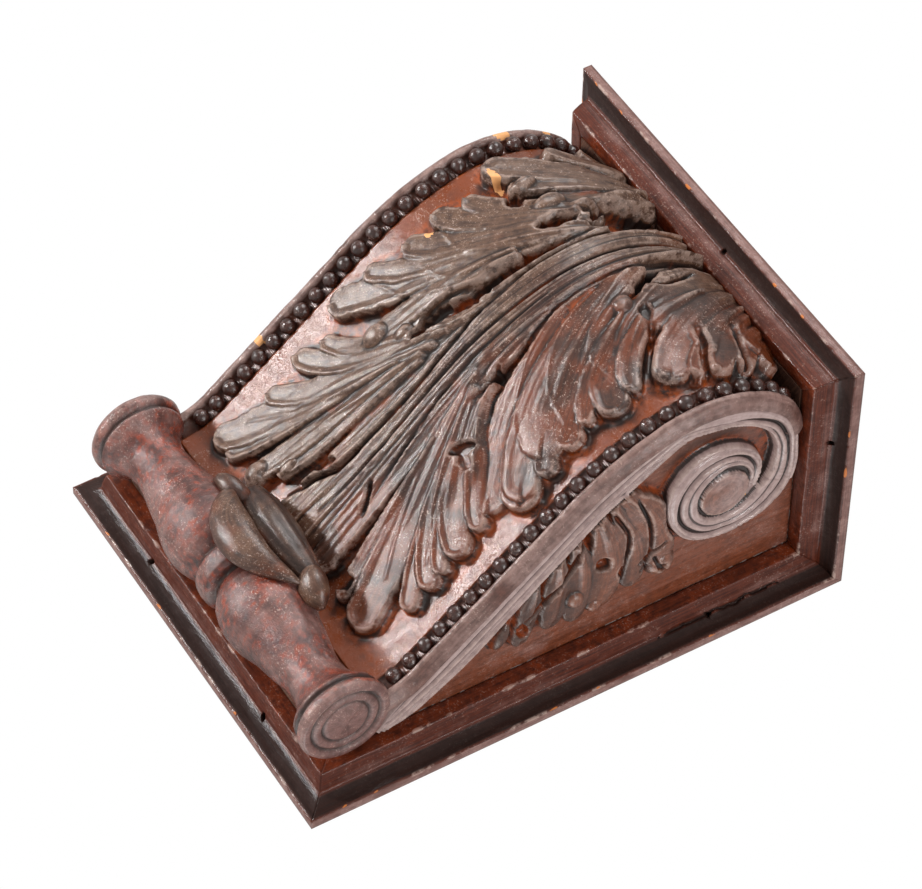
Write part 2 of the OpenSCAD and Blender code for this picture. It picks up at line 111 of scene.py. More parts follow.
class Noise:
    """Smooth repeatable noise over two coordinates, from a lattice of seeded random values."""

    def __init__(self, seed: int) -> None:
        """Fill the lattice.

        Args:
            seed: Seed of the random lattice.
        """
        self.grid = np.random.default_rng(SEED + seed).uniform(-1.0, 1.0, (256, 256))

    def at(self, u: np.ndarray, v: np.ndarray) -> np.ndarray:
        """Noise between -1 and 1.

        Args:
            u: First coordinate, in lattice cells.
            v: Second coordinate, in lattice cells.

        Returns:
            The noise at each place.
        """
        iu, iv = np.floor(u).astype(int), np.floor(v).astype(int)
        fu, fv = u - iu, v - iv
        fu, fv = fu * fu * (3 - 2 * fu), fv * fv * (3 - 2 * fv)
        g = self.grid
        a, b = g[iu % 256, iv % 256], g[(iu + 1) % 256, iv % 256]
        c, d = g[iu % 256, (iv + 1) % 256], g[(iu + 1) % 256, (iv + 1) % 256]
        return (a * (1 - fu) + b * fu) * (1 - fv) + (c * (1 - fu) + d * fu) * fv

    def rough(self, u: np.ndarray, v: np.ndarray, octaves: int = 3) -> np.ndarray:
        """Noise with finer and finer layers added.

        Args:
            u: First coordinate, in lattice cells.
            v: Second coordinate, in lattice cells.
            octaves: How many layers to add.

        Returns:
            The noise at each place, about -1 to 1.
        """
        total, share = np.zeros_like(u, dtype=float), 0.5
        for k in range(octaves):
            total = total + share * self.at(u * 2**k + 17.3 * k, v * 2**k + 5.1 * k)
            share *= 0.5
        return total


def spline(points: np.ndarray, count: int) -> np.ndarray:
    """A smooth curve through points, evenly sampled along its length.

    Args:
        points: Through points, one a row.
        count: How many samples to give.

    Returns:
        The samples, one a row.
    """
    p = np.asarray(points, float)
    p = np.vstack([2 * p[0] - p[1], p, 2 * p[-1] - p[-2]])
    t = np.linspace(0, 1, 24, endpoint=False)[:, None]
    parts = []
    for a, b, c, d in zip(p[:-3], p[1:-2], p[2:-1], p[3:]):
        parts.append(0.5 * (2 * b + (c - a) * t + (2 * a - 5 * b + 4 * c - d) * t**2
                            + (3 * b - a - 3 * c + d) * t**3))
    fine = np.vstack(parts + [p[-2][None]])
    run = np.concatenate([[0], np.cumsum(np.linalg.norm(np.diff(fine, axis=0), axis=1))])
    want = np.linspace(0, run[-1], count)
    return np.stack([np.interp(want, run, fine[:, k]) for k in range(fine.shape[1])], axis=1)


@dataclass
class Nearest:
    """What a path measures at each place: signed distance, length along and share of the path."""

    across: np.ndarray
    along: np.ndarray
    share: np.ndarray


def nearest(path: np.ndarray, u: np.ndarray, v: np.ndarray) -> Nearest:
    """Measure places against a path of short straight stretches.

    Args:
        path: The path's points in order.
        u: First coordinate of each place.
        v: Second coordinate of each place.

    Returns:
        Distance (positive on the left of the path), length along it and its share of the whole.
    """
    seg = np.diff(path, axis=0)
    length = np.linalg.norm(seg, axis=1)
    start = np.concatenate([[0], np.cumsum(length)])
    best = np.full(u.shape, 1e9)
    across, along = np.zeros(u.shape), np.zeros(u.shape)
    for k in range(len(seg)):
        ux, uy = seg[k] / max(length[k], 1e-9)
        du, dv = u - path[k, 0], v - path[k, 1]
        t = np.clip(du * ux + dv * uy, 0, length[k])
        eu, ev = du - t * ux, dv - t * uy
        d = np.hypot(eu, ev)
        side = np.sign(ux * ev - uy * eu)
        closer = d < best
        best = np.where(closer, d, best)
        across = np.where(closer, d * np.where(side == 0, 1, side), across)
        along = np.where(closer, start[k] + t, along)
    return Nearest(across, along, along / start[-1])


# ---------------------------------------------------------------- sizes shared by all pieces


@dataclass
class Plan:
    """The corbel's main sizes in millimetres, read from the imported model's boxes."""

    width: float
    height: float
    depth: float
    strip_in: float
    strip_out: float
    relief: float = 6.0

    @classmethod
    def from_frame(cls) -> "Plan":
        """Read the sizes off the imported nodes."""
        low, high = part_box("right_back_moulding")
        top_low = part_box("top_front_moulding")[0]
        return cls(
            width=2 * high[0] / MM,
            height=(high[2] - low[2]) / MM,
            depth=-top_low[1] / MM,
            strip_in=(high[0] - low[0]) / MM,
            strip_out=-low[1] / MM,
        )

    @property
    def half(self) -> float:
        """Half the width over the strips."""
        return self.width / 2

    @property
    def block_half(self) -> float:
        """Half the width of the carved block."""
        return self.half - self.strip_in

    @property
    def foot(self) -> float:
        """Z of the bottom edge."""
        return -self.height / 2

    @property
    def seat(self) -> float:
        """Z of the top face."""
        return self.height / 2

    @property
    def under(self) -> float:
        """Z of the underside of the top strips."""
        return self.seat - self.strip_out


class SCurve:
    """The bead line: the S curve from the toe over the belly to the crown, in the YZ plane."""

    toe_r, hip_r, belly_r = 28.0, 120.0, 56.0
    toe_angle, belly_angle = 78.0, 74.0

    def __init__(self, plan: Plan) -> None:
        """Lay out the curve's runs.

        Args:
            plan: The corbel's sizes.
        """
        self.plan = plan
        self.toe = np.array([-38.8, plan.foot + 45.0])
        self.belly = np.array([-plan.depth, plan.seat - 66.0])
        low, high = 30.0, 72.0
        for _ in range(40):
            mid = (low + high) / 2
            if self._miss(mid) < 0:
                low = mid
            else:
                high = mid
        flank = (low + high) / 2
        crown_angle, crown_end = 134.0, 176.0
        arcs = [(self.toe_r, self.toe_angle, flank), None, (self.hip_r, flank, self.belly_angle),
                (self.belly_r, self.belly_angle, crown_angle), (33.0, crown_angle, crown_end)]
        points, ways, p = [self.toe], [self.toe_angle], self.toe
        steps = 60
        for arc in arcs:
            for k in range(1, steps + 1):
                if arc is None:
                    way = flank
                    q = p + self._flank(flank) * k / steps * self._way(flank)
                else:
                    radius, a, b = arc
                    way = a + (b - a) * k / steps
                    q = p + self._arc(radius, a, way)
                points.append(q)
                ways.append(way)
            p = points[-1]
        self.points = np.array(points)
        self.ways = np.array(ways)
        self.run = np.concatenate([[0], np.cumsum(np.linalg.norm(np.diff(self.points, axis=0), axis=1))])
        self.length = float(self.run[-1])

    @staticmethod
    def _way(angle: float) -> np.ndarray:
        """Direction of travel at an angle."""
        a = math.radians(angle)
        return np.array([-math.cos(a), math.sin(a)])

    @staticmethod
    def _arc(radius: float, a: float, b: float) -> np.ndarray:
        """Move along an arc from angle a to angle b.

        Args:
            radius: Radius of the arc.
            a: Angle of travel at its start, in degrees.
            b: Angle of travel at its end.

        Returns:
            The move in Y and Z.
        """
        sign = math.copysign(1.0, b - a)
        ra, rb = math.radians(a), math.radians(b)
        return np.array([-sign * radius * (math.sin(rb) - math.sin(ra)),
                         -sign * radius * (math.cos(rb) - math.cos(ra))])

    def _arcs(self, angle: float) -> np.ndarray:
        """Move along the three arcs between the toe and the belly at a flank angle."""
        return (self._arc(self.toe_r, self.toe_angle, angle) + self._arc(self.hip_r, angle, self.belly_angle)
                + self._arc(self.belly_r, self.belly_angle, 90.0))

    def _flank(self, angle: float) -> float:
        """Length of straight flank that closes the height at a flank angle."""
        rise = self._arcs(angle)[1]
        return (self.belly[1] - self.toe[1] - rise) / math.sin(math.radians(angle))

    def _miss(self, angle: float) -> float:
        """How far the belly lands from its place at a flank angle."""
        return (self.toe + self._arcs(angle) + self._flank(angle) * self._way(angle) - self.belly)[0]

    def place(self, s: np.ndarray, h: np.ndarray) -> tuple[np.ndarray, np.ndarray]:
        """Y and Z of places along the curve, lifted off it.

        Args:
            s: Length along the curve from the toe.
            h: Height off the curve, outwards.

        Returns:
            Y and Z in millimetres.
        """
        y, z = np.interp(s, self.run, self.points[:, 0]), np.interp(s, self.run, self.points[:, 1])
        a = np.radians(np.interp(s, self.run, self.ways))
        under, over = np.minimum(s, 0.0), np.maximum(s - self.length, 0.0)
        y, z = y - (under + over) * np.cos(a), z + (under + over) * np.sin(a)
        return y - h * np.sin(a), z - h * np.cos(a)


# ---------------------------------------------------------------- mesh makers


def new_object(name: str, points: np.ndarray, faces: list, smooth_faces: bool = True) -> bpy.types.Object:
    """Make a mesh object from points in millimetres.

    Args:
        name: Name of the piece.
        points: One point a row, in millimetres.
        faces: Corner indices of each face, or an array of quads.
        smooth_faces: Whether faces are shaded smooth.

    Returns:
        The object, linked to the scene.
    """
    mesh = bpy.data.meshes.new(name)
    mesh.from_pydata((np.asarray(points) * MM).tolist(), [], [list(map(int, f)) for f in faces])
    mesh.update()
    mesh.validate()
    obj = bpy.data.objects.new(name, mesh)
    bpy.context.scene.collection.objects.link(obj)
    mesh.polygons.foreach_set("use_smooth", [smooth_faces] * len(mesh.polygons))
    return obj


def grid_faces(rows: int, cols: int, wrap: bool = False) -> np.ndarray:
    """Quads of a grid of points stored row by row.

    Args:
        rows: Number of rows.
        cols: Number of points in a row.
        wrap: Whether the last column joins the first.

    Returns:
        An array of quads.
    """
    last = cols if wrap else cols - 1
    r, c = np.meshgrid(np.arange(rows - 1), np.arange(last), indexing="ij")
    a, b = r * cols + c, r * cols + (c + 1) % cols
    return np.stack([a, b, b + cols, a + cols], axis=-1).reshape(-1, 4)


def face_outwards(obj: bpy.types.Object) -> None:
    """Turn all faces of a closed mesh outwards.

    Args:
        obj: A closed piece.
    """
    bm = bmesh.new()
    bm.from_mesh(obj.data)
    bmesh.ops.recalc_face_normals(bm, faces=bm.faces)
    bm.to_mesh(obj.data)
    bm.free()


def sweep(name: str, rings: np.ndarray) -> bpy.types.Object:
    """Make a closed tube with flat ends.

    Args:
        name: Name of the piece.
        rings: Places in millimetres, indexed by station, place round the ring and axis.

    Returns:
        The piece, with its faces outwards.
    """
    stations, ring = rings.shape[:2]
    total = stations * ring
    faces = [tuple(f) for f in grid_faces(stations, ring, wrap=True)]
    faces += [tuple(range(ring)), tuple(range(total - 1, total - ring - 1, -1))]
    obj = new_object(name, rings.reshape(-1, 3), faces)
    face_outwards(obj)
    return obj


def store(obj: bpy.types.Object, shape: tuple[int, ...], used: np.ndarray | None = None,
          **values: object) -> None:
    """Store the numbers that the varnish reads on a mesh: what isn't given, or lies past the grid, is 0.

    Args:
        obj: The piece.
        shape: Shape of the grid that its first points were laid on.
        used: Which of the grid's points the mesh kept, or None for all.
        values: A grid or one number for each of FINISH_VALUES.
    """
    for name in FINISH_VALUES:
        grid = np.broadcast_to(values.get(name, 0.0), shape).ravel()
        grid = grid if used is None else grid[used]
        full = np.zeros(len(obj.data.vertices), dtype=np.float32)
        full[:len(grid)] = grid
        obj.data.attributes.new(name, "FLOAT", "POINT").data.foreach_set("value", full)


def add_node(tree: bpy.types.NodeTree, kind: str, settings: dict | None = None,
             inputs: dict | None = None) -> bpy.types.Node:
    """Add a node to a tree.

    Args:
        tree: The node tree.
        kind: Type of the node.
        settings: The node's own settings, by name.
        inputs: What its inputs hold, by name or place: a socket to link, or a constant.

    Returns:
        The node.
    """
    node = tree.nodes.new(kind)
    for name, value in (settings or {}).items():
        setattr(node, name, value)
    for name, value in (inputs or {}).items():
        if isinstance(value, bpy.types.NodeSocket):
            tree.links.new(value, node.inputs[name])
        else:
            node.inputs[name].default_value = value
    return node


def add_sum(tree: bpy.types.NodeTree, kind: str, a: object, b: object,
            clamp: bool = False) -> bpy.types.NodeSocket:
    """Do one sum, such as ADD, on two numbers or sockets."""
    return add_node(tree, "ShaderNodeMath", {"operation": kind, "use_clamp": clamp}, {0: a, 1: b}).outputs[0]


@dataclass
class Relief:
    """A carved surface over a grid: its heights and what the finish needs to know at each point."""

    height: np.ndarray
    across: np.ndarray
    along: np.ndarray
    leaf: np.ndarray


def hollowness(height: np.ndarray, reach: int) -> np.ndarray:
    """How far each point lies below the mean of those around it, in millimetres.

    Args:
        height: Grid of heights.
        reach: Half width of the window, in cells.

    Returns:
        Positive in hollows and negative on arrises.
    """
    mean = height.copy()
    for _ in range(2):
        for axis in (0, 1):
            pad = [(0, 0), (0, 0)]
            pad[axis] = (reach + 1, reach)
            c = np.cumsum(np.pad(mean, pad, mode="edge"), axis=axis)
            n = 2 * reach + 1
            mean = (c[n:] - c[:-n]) / n if axis == 0 else (c[:, n:] - c[:, :-n]) / n
    return mean - height


# ---------------------------------------------------------------- the acanthus


@dataclass(frozen=True)
class Finger:
    """One finger of a leaf, on a flat drawing in millimetres: it runs from root to tip over a bend."""

    tip: tuple[float, float]
    bend: tuple[float, float]
    root: tuple[float, float]
    width: float
    tip_rise: float = 4.8
    root_rise: float = 8.0
    scoop: float = 0.0
    web: float = 0.55
    round_end: float = 0.8
    tilt: float = 0.9
    fall: float = 0.16

    def path(self) -> np.ndarray:
        """The finger's spine, ended short of the tip by its round end."""
        root, bend, tip = (np.array(p, float) for p in (self.root, self.bend, self.tip))
        way = (tip - bend) / np.linalg.norm(tip - bend)
        tip = tip - way * self.width * self.round_end
        t = np.linspace(0, 1, 25)[:, None]
        return (1 - t) ** 2 * root + 2 * t * (1 - t) * bend + t**2 * tip


@dataclass(frozen=True)
class Cut:
    """A groove along a path, deepest in its middle."""

    path: tuple[tuple[float, float], ...]
    depth: float
    width: float


@dataclass(frozen=True)
class Pit:
    """A deep hollow with steep walls, an oval turned by an angle, cut down to a floor."""

    centre: tuple[float, float]
    size: tuple[float, float]
    turn: float
    floor: float


@dataclass(frozen=True)
class Knob:
    """A rounded curl standing on the leaf, an oval turned by an angle."""

    centre: tuple[float, float]
    size: tuple[float, float]
    turn: float
    top: float


def oval(u: np.ndarray, v: np.ndarray, centre: tuple[float, float], size: tuple[float, float],
         turn: float) -> np.ndarray:
    """Distance from an oval's centre, 1 at its edge.

    Args:
        u: First coordinate of each place.
        v: Second coordinate of each place.
        centre: Centre of the oval.
        size: Its two half axes.
        turn: Its turn in degrees.

    Returns:
        0 at the centre and 1 on the edge.
    """
    c, s = math.cos(math.radians(turn)), math.sin(math.radians(turn))
    du, dv = u - centre[0], v - centre[1]
    return np.hypot((du * c + dv * s) / size[0], (-du * s + dv * c) / size[1])


NOWHERE = -99.0
"""A height below everything, where a form isn't."""


class Carving:
    """Cuts a relief out of fingers, knobs, grooves and pits on a flat drawing."""

    def __init__(self, u: np.ndarray, v: np.ndarray, ground: np.ndarray, seed: int) -> None:
        """Start with bare ground.

        Args:
            u: First coordinate of each place on the drawing.
            v: Second coordinate of each place.
            ground: Height of the bare ground at each place.
            seed: Seed of the carver's unevenness.
        """
        self.u, self.v, self.ground = u, v, ground
        self.height = ground.copy()
        self.across = np.zeros(u.shape)
        self.along = u.copy()
        self.leaf = np.zeros(u.shape)
        self.noise = Noise(seed)

    def near(self, points: np.ndarray, margin: float) -> np.ndarray:
        """Which places lie in the box round some points, grown by a margin."""
        low, high = points.min(axis=0) - margin, points.max(axis=0) + margin
        return (self.u > low[0]) & (self.u < high[0]) & (self.v > low[1]) & (self.v < high[1])

    def raise_to(self, where: np.ndarray, height: np.ndarray, across: np.ndarray, along: np.ndarray) -> None:
        """Raise the carving where a new form stands above it.

        Args:
            where: Mask of the places that the other arguments speak of.
            height: Height of the new form there.
            across: Its distance across, for the finish.
            along: Its length along, for the finish.
        """
        old = self.height[where]
        wins = height > old
        self.height[where] = np.where(wins, height, old)
        self.across[where] = np.where(wins, across, self.across[where])
        self.along[where] = np.where(wins, along, self.along[where])
        self.leaf[where] = np.where(wins, 1.0, self.leaf[where])

    def finger(self, f: Finger) -> None:
        """Lay one finger: a crowned blade with steep sides, a midrib, veins and a wider web at its root.

        Args:
            f: The finger.
        """
        path = f.path()
        where = self.near(path, f.width * 2.6)
        u, v = self.u[where], self.v[where]
        hit = nearest(path, u, v)
        t = hit.share
        edge = 1.0 + 0.06 * self.noise.at(hit.along * 0.35 + f.tip[0], np.sign(hit.across) * 3 + f.tip[1])
        width = f.width * (0.30 + 0.70 * smooth(0.0, 0.72, t)) * (1.0 - 0.12 * smooth(0.85, 1.0, t)) * edge
        rise = f.root_rise + (f.tip_rise - f.root_rise) * smooth(0.05, 0.95, t)
        x = np.abs(hit.across) / width
        lean = np.sign(f.tip[1]) * f.tilt * np.clip(hit.across / width, -1, 1) * smooth(0.1, 0.5, t)
        crown = rise * (1.0 - f.fall * x**2) + lean
        crown -= f.scoop * (1.0 - smooth(0.25, 0.80, x)) * smooth(0.35, 0.8, t)
        crown += 0.45 * bump(hit.across, 0.0, 0.55) * (1.0 - smooth(0.55, 0.95, t))
        veins = 0.5 + 0.5 * np.cos(hit.across * 2 * math.pi / 2.3)
        crown -= 0.15 * veins * smooth(0.15, 0.4, t) * (1 - smooth(0.8, 1, t))
        wall = 1.0 - smooth(0.86, 1.0, x)
        web_width = width * (1.0 + f.web * (1.0 - smooth(0.25, 0.72, t)))
        w = np.abs(hit.across) / web_width
        web = rise * (0.86 - 0.16 * w**2) * (1.0 - smooth(0.84, 1.0, w))
        ground = self.ground[where]
        height = np.maximum(ground + (crown - ground) * wall, web)
        height = np.where((x < 1) | (w < 1), height, NOWHERE)
        self.raise_to(where, height, hit.across, hit.along + f.tip[0])

    def rib(self, points: list[tuple[float, float]], top: float, end: float, width: float) -> None:
        """Lay a fine raised rib along a path.

        Args:
            points: Through points of the rib.
            top: How far it stands above what lies under it at its start.
            end: The same at its end.
            width: Half width of the rib.
        """
        path = spline(np.array(points), 40)
        where = self.near(path, width * 3)
        hit = nearest(path, self.u[where], self.v[where])
        lift = (top + (end - top) * hit.share) * np.exp(-((hit.across / width) ** 2))
        self.height[where] += lift * self.leaf[where]

    def cut(self, c: Cut) -> None:
        """Run a groove along its path.

        Args:
            c: The cut.
        """
        path = spline(np.array(c.path), 40)
        where = self.near(path, c.width * 3)
        hit = nearest(path, self.u[where], self.v[where])
        fade = smooth(0.0, 0.12, hit.share) * (1 - smooth(0.85, 1.0, hit.share))
        depth = c.depth * np.exp(-((hit.across / c.width) ** 4)) * (0.35 + 0.65 * fade)
        self.height[where] = np.maximum(self.height[where] - depth, self.ground[where] - 0.8)

    def pit(self, p: Pit) -> None:
        """Sink a pit to its floor.

        Args:
            p: The pit.
        """
        edge = oval(self.u, self.v, p.centre, p.size, p.turn)
        edge = edge * (1 + 0.12 * self.noise.at(self.u * 0.5, self.v * 0.5))
        share = 1.0 - smooth(0.72, 1.05, edge)
        self.height = self.height + (np.minimum(self.height, p.floor) - self.height) * share

    def knob(self, k: Knob) -> None:
        """Stand a curl on the carving.

        Args:
            k: The knob.
        """
        edge = oval(self.u, self.v, k.centre, k.size, k.turn)
        height = self.ground + (k.top - self.ground) * np.sqrt(np.clip(1 - edge**3, 0, 1))
        where = edge < 1
        self.raise_to(where, height[where], (self.v - k.centre[1])[where], (self.u)[where])

    def finish(self) -> Relief:
        """Add the unevenness of hand carving and return the relief."""
        n = self.noise
        self.height += 0.20 * n.rough(self.u / 7, self.v / 7)
        self.height += 0.06 * n.rough(self.u / 1.6 + 31, self.v / 1.6, 2)
        return Relief(self.height, self.across, self.along, self.leaf)


def lobe(fingers: list[tuple], root_rise: float, tip_rise: float) -> list[Finger]:
    """Fingers of one lobe from rows of tip, bend, root, half width and depth of scoop, each over the last."""
    return [Finger(tip, bend, root, width, tip_rise + 0.25 * (k % 2), root_rise + 0.2 * (k % 3), scoop + 0.55)
            for k, (tip, bend, root, width, scoop) in enumerate(fingers)]


@dataclass
class LeafFront:
    """The carved front between the bead rows: the ground and the acanthus that falls down it."""

    plan: Plan
    curve: SCurve
    half: float = 75.4
    step: float = 0.62
    start: float = -7.0
    name: str = "console_acanthus_front"
    chips: tuple[tuple, ...] = (((163.5, -60.5), (1.7, 5.4), 0), ((129.5, -57.0), (1.9, 1.6), 0))

    def left_lobes(self) -> list[Finger]:
        """The three lobes left of the ribs, from the foot up."""
        low = lobe([
            ((4, -64), (50, -40), (128, -8), 9.0, 0.4), ((5, -54), (30, -43), (88, -20), 5.0, 0.3),
            ((5, -38.5), (32, -31), (98, -14), 6.0, 0.0), ((18, -28), (44, -21.5), (96, -12), 4.2, 0.0),
            ((35, -61), (48, -43), (104, -13), 6.0, 0.5), ((55, -64), (64, -43), (112, -13), 6.6, 0.5),
            ((68, -59), (75, -40), (112, -16), 5.2, 0.3)], 8.2, 4.6)
        middle = lobe([
            ((79, -68), (110, -46), (182, -12), 9.0, 0.5), ((80, -40.5), (100, -37), (150, -22), 6.2, 0.0),
            ((90, -30.5), (108, -30), (150, -19), 5.0, 0.0), ((100, -66), (116, -45), (170, -17), 6.0, 0.4),
            ((119, -62), (132, -44), (178, -18), 7.2, 0.4), ((135, -64), (147, -44), (186, -20), 6.8, 0.4),
            ((149, -61), (157, -42), (192, -22), 5.4, 0.3)], 9.4, 5.2)
        top = lobe([
            ((162, -69), (181, -54), (228, -30), 8.5, 0.4), ((164, -52), (181, -47), (226, -28), 5.4, 0.0),
            ((166, -37), (180, -36), (222, -26), 6.6, 0.0), ((189, -67), (199, -60), (228, -44), 5.0, 0.3),
            ((207, -68), (214, -62), (232, -50), 6.0, 0.3)], 11.5, 6.4)
        return low + middle + top

    def right_lobes(self) -> list[Finger]:
        """The three lobes right of the ribs, from the foot up."""
        low = lobe([
            ((6.5, 36.5), (26, 33), (80, 19), 4.4, 0.0), ((4.5, 52), (40, 40), (118, 9), 10.5, 0.5),
            ((27, 64.5), (48, 46), (106, 16), 5.4, 0.8), ((40, 65.5), (51, 44), (106, 18), 6.4, 1.0),
            ((47.5, 64), (57, 48), (102, 21), 4.4, 0.6), ((59, 65.5), (64, 45), (110, 21), 8.2, 1.4),
            ((71, 63), (75, 50), (100, 29), 5.0, 0.7)], 8.2, 4.8)
        low += [Finger((77, 60), (96, 42), (150, 15), 10.0, 3.4, 7.6, 0.0, web=0.2)]
        middle = lobe([
            ((89, 70.5), (108, 46), (178, 13), 11.0, 0.4), ((106, 69), (117, 50), (160, 25), 6.0, 0.6),
            ((120, 68), (128, 49), (174, 22), 7.0, 0.7), ((130, 64), (136, 52), (168, 31), 4.6, 0.4),
            ((142, 68.5), (146, 48), (184, 25), 8.4, 1.3),
            ((152, 64), (156, 50), (176, 34), 5.0, 0.5)], 9.6, 5.4)
        middle += [Finger((108, 62), (126, 43), (182, 13), 14.0, 6.4, 10.4, 0.2, web=0.2),
                   Finger((92, 69), (108, 47), (178, 14), 10.5, 6.4, 10.2, 0.7, web=0.2)]
        top = lobe([
            ((161, 46), (170, 42), (200, 32), 4.6, 0.0), ((165, 70), (178, 50), (226, 26), 9.8, 0.4),
            ((175, 72), (187, 56), (224, 34), 5.2, 0.4), ((184, 74), (195, 56), (228, 36), 7.0, 0.8),
            ((197, 73), (206, 60), (230, 42), 5.4, 0.5),
            ((211, 72), (217, 62), (232, 50), 6.0, 0.4)], 11.5, 6.6)
        top += [Finger((187, 66), (199, 50), (234, 30), 17.0, 7.4, 12.0, 0.0, web=0.1),
                Finger((176, 33), (200, 27), (240, 20), 13.0, 9.4, 11.4, 0.3, web=0.1),
                Finger((209, 66), (216, 56), (238, 40), 11.0, 7.6, 11.0, 0.0, web=0.1)]
        return low + middle + top

    def middle(self) -> list[Finger]:
        """The middle lobe, which runs the whole height, and its tip at the foot."""
        return lobe([
            ((-5, -13), (60, -5), (236, -6), 8.0, 0.0), ((-6, -2), (60, -1), (236, -2), 8.0, 0.0),
            ((-4, 9), (60, 6), (236, 5), 8.0, 0.0), ((7, 19), (55, 11), (236, 9), 7.5, 0.0)], 9.6, 5.6)

    def ribs(self, carving: Carving) -> None:
        """Lay the fine ribs that gather into the middle and run up to the top.

        Args:
            carving: The carving to lay them on.
        """
        lobes = [(-13.5, -62, 14), (-11.5, -49, 22), (-9.5, -36, 30), (-12.8, -58, 44), (-13.6, -62, 92),
                 (-14.2, -48, 112), (-14.8, -56, 126), (11.5, 50, 20), (13.5, 60, 38), (14.5, 60, 62),
                 (12.5, 60, 96), (14.0, 62, 116), (15.5, 62, 140)]
        for gather, end, tip in lobes:
            turn = tip + 0.42 * (180 - tip)
            carving.rib([(234, gather * 0.55), (185, gather * 0.8), (turn + 12, gather * 1.25),
                         ((turn + tip) / 2, (gather + end) / 2), (tip + 8, end * 0.93)], 1.1, 0.3, 0.7)
        for x in (-9.0, -6.8, -4.9, -3.0, 2.6, 4.6, 6.6, 9.0, 11.0):
            carving.rib([(234, x * 0.8), (150, x), (90, x * 0.95), (30, x * 1.5), (4, x * 1.7)],
                        1.25, 0.45, 0.62)
        carving.rib([(180, -27), (190, -29.2), (200, -30.6), (213, -33)], 3.4, 2.2, 2.4)

    def cuts(self) -> list[Cut]:
        """Grooves that part the lobes and ribs."""
        return [
            Cut(((228, 1.2), (150, 1.0), (105, 0.0), (63, 2.0), (40, 2.4), (24, 1.0)), 1.9, 0.8),
            Cut(((225, -8), (150, -10), (105, -6.2), (71, -5.2), (41, -7.2), (30, -12), (17, -18)), 2.8, 1.0),
            Cut(((52, -5.8), (41, -7.2), (33, -11.5), (26, -14), (16, -18.4)), 7.0, 1.6),
            Cut(((225, 11), (185, 12.6), (160, 12), (140, 15), (122, 21), (110, 24)), 2.4, 0.9),
            Cut(((150, 5.5), (105, 6.4), (85, 8), (60, 12.4), (42, 16)), 1.7, 0.8),
            Cut(((118, 16.6), (112, 19.5), (106, 21.8)), 4.5, 1.1),
            Cut(((48, 10), (43, 13.5), (37, 17)), 4.0, 1.1),
            Cut(((200, -9), (165, -15), (140, -15.5), (128, -19)), 2.6, 1.0),
            Cut(((97, -22.5), (110, -26.5), (122, -24), (131, -19.5)), 3.0, 1.2),
            Cut(((212, -24), (195, -23), (180, -25)), 4.0, 2.0),
            Cut(((180, 20), (188, 24), (196, 22.6), (204, 19.5)), 4.5, 1.0),
            Cut(((188, 50), (186, 58), (182, 66), (179, 75)), 4.4, 1.5),
            Cut(((204, 51), (202.5, 59), (200, 67), (197, 75)), 4.4, 1.5),
            Cut(((173, 42), (169, 49), (163, 57)), 3.4, 1.2),
        ]

    def pits(self) -> list[Pit]:
        """Drilled and undercut hollows between the lobes."""
        return [
            Pit((111, -22.6), (9.0, 3.7), 4, -0.5), Pit((37, -14.5), (6.5, 2.4), 28, -0.6),
            Pit((87.2, 32.6), (6.6, 2.6), 31, 4.0), Pit((84.4, 36.0), (2.8, 4.8), 8, 4.0),
            Pit((173.5, 36.0), (2.4, 4.4), 20, 6.4),
            Pit((170.5, -24.5), (8.0, 3.6), 10, -0.5), Pit((192, -22.5), (10.5, 3.6), -8, -0.2),
            Pit((12, 29), (8.5, 4.6), 62, -0.8), Pit((81, -52.5), (4.0, 5.0), 30, -0.6),
            Pit((163.5, -45), (3.2, 4.6), 0, -0.6), Pit((18, -20.5), (5.0, 2.6), 10, -0.6),
            Pit((102, -23.0), (4.0, 2.2), 20, 0.2),
        ]

    def knobs(self) -> list[Knob]:
        """Curled tips that stand above the lobes."""
        return [
            Knob((11, -36), (7.5, 5.2), -8, 7.6), Knob((87, -38.5), (7.5, 6.2), -6, 8.6),
            Knob((97, -28.5), (6.0, 4.2), -8, 8.4), Knob((173, -35.5), (8.5, 5.6), -6, 10.6),
            Knob((168.0, 28.5), (5.4, 6.6), 20, 11.6), Knob((170, -50), (7.0, 4.0), -15, 9.6),
            Knob((24, -26), (6.5, 3.2), 0, 6.4),
        ]

    def relief(self) -> Relief:
        """Carve the front over its grid."""
        rows = int(round((self.curve.length - 2 - self.start) / self.step)) + 1
        cols = int(round(2 * self.half / self.step)) + 1
        s = np.linspace(self.start, self.curve.length - 2, rows)
        x = np.linspace(-self.half, self.half, cols)
        self.s, self.x = np.meshgrid(s, x, indexing="ij")
        ground = np.full(self.s.shape, -1.0)
        carving = Carving(self.s, self.x, ground, 3)
        for f in self.left_lobes() + self.right_lobes() + self.middle():
            carving.finger(f)
        for k in self.knobs():
            carving.knob(k)
        self.ribs(carving)
        for c in self.cuts():
            carving.cut(c)
        for p in self.pits():
            carving.pit(p)
        return carving.finish()

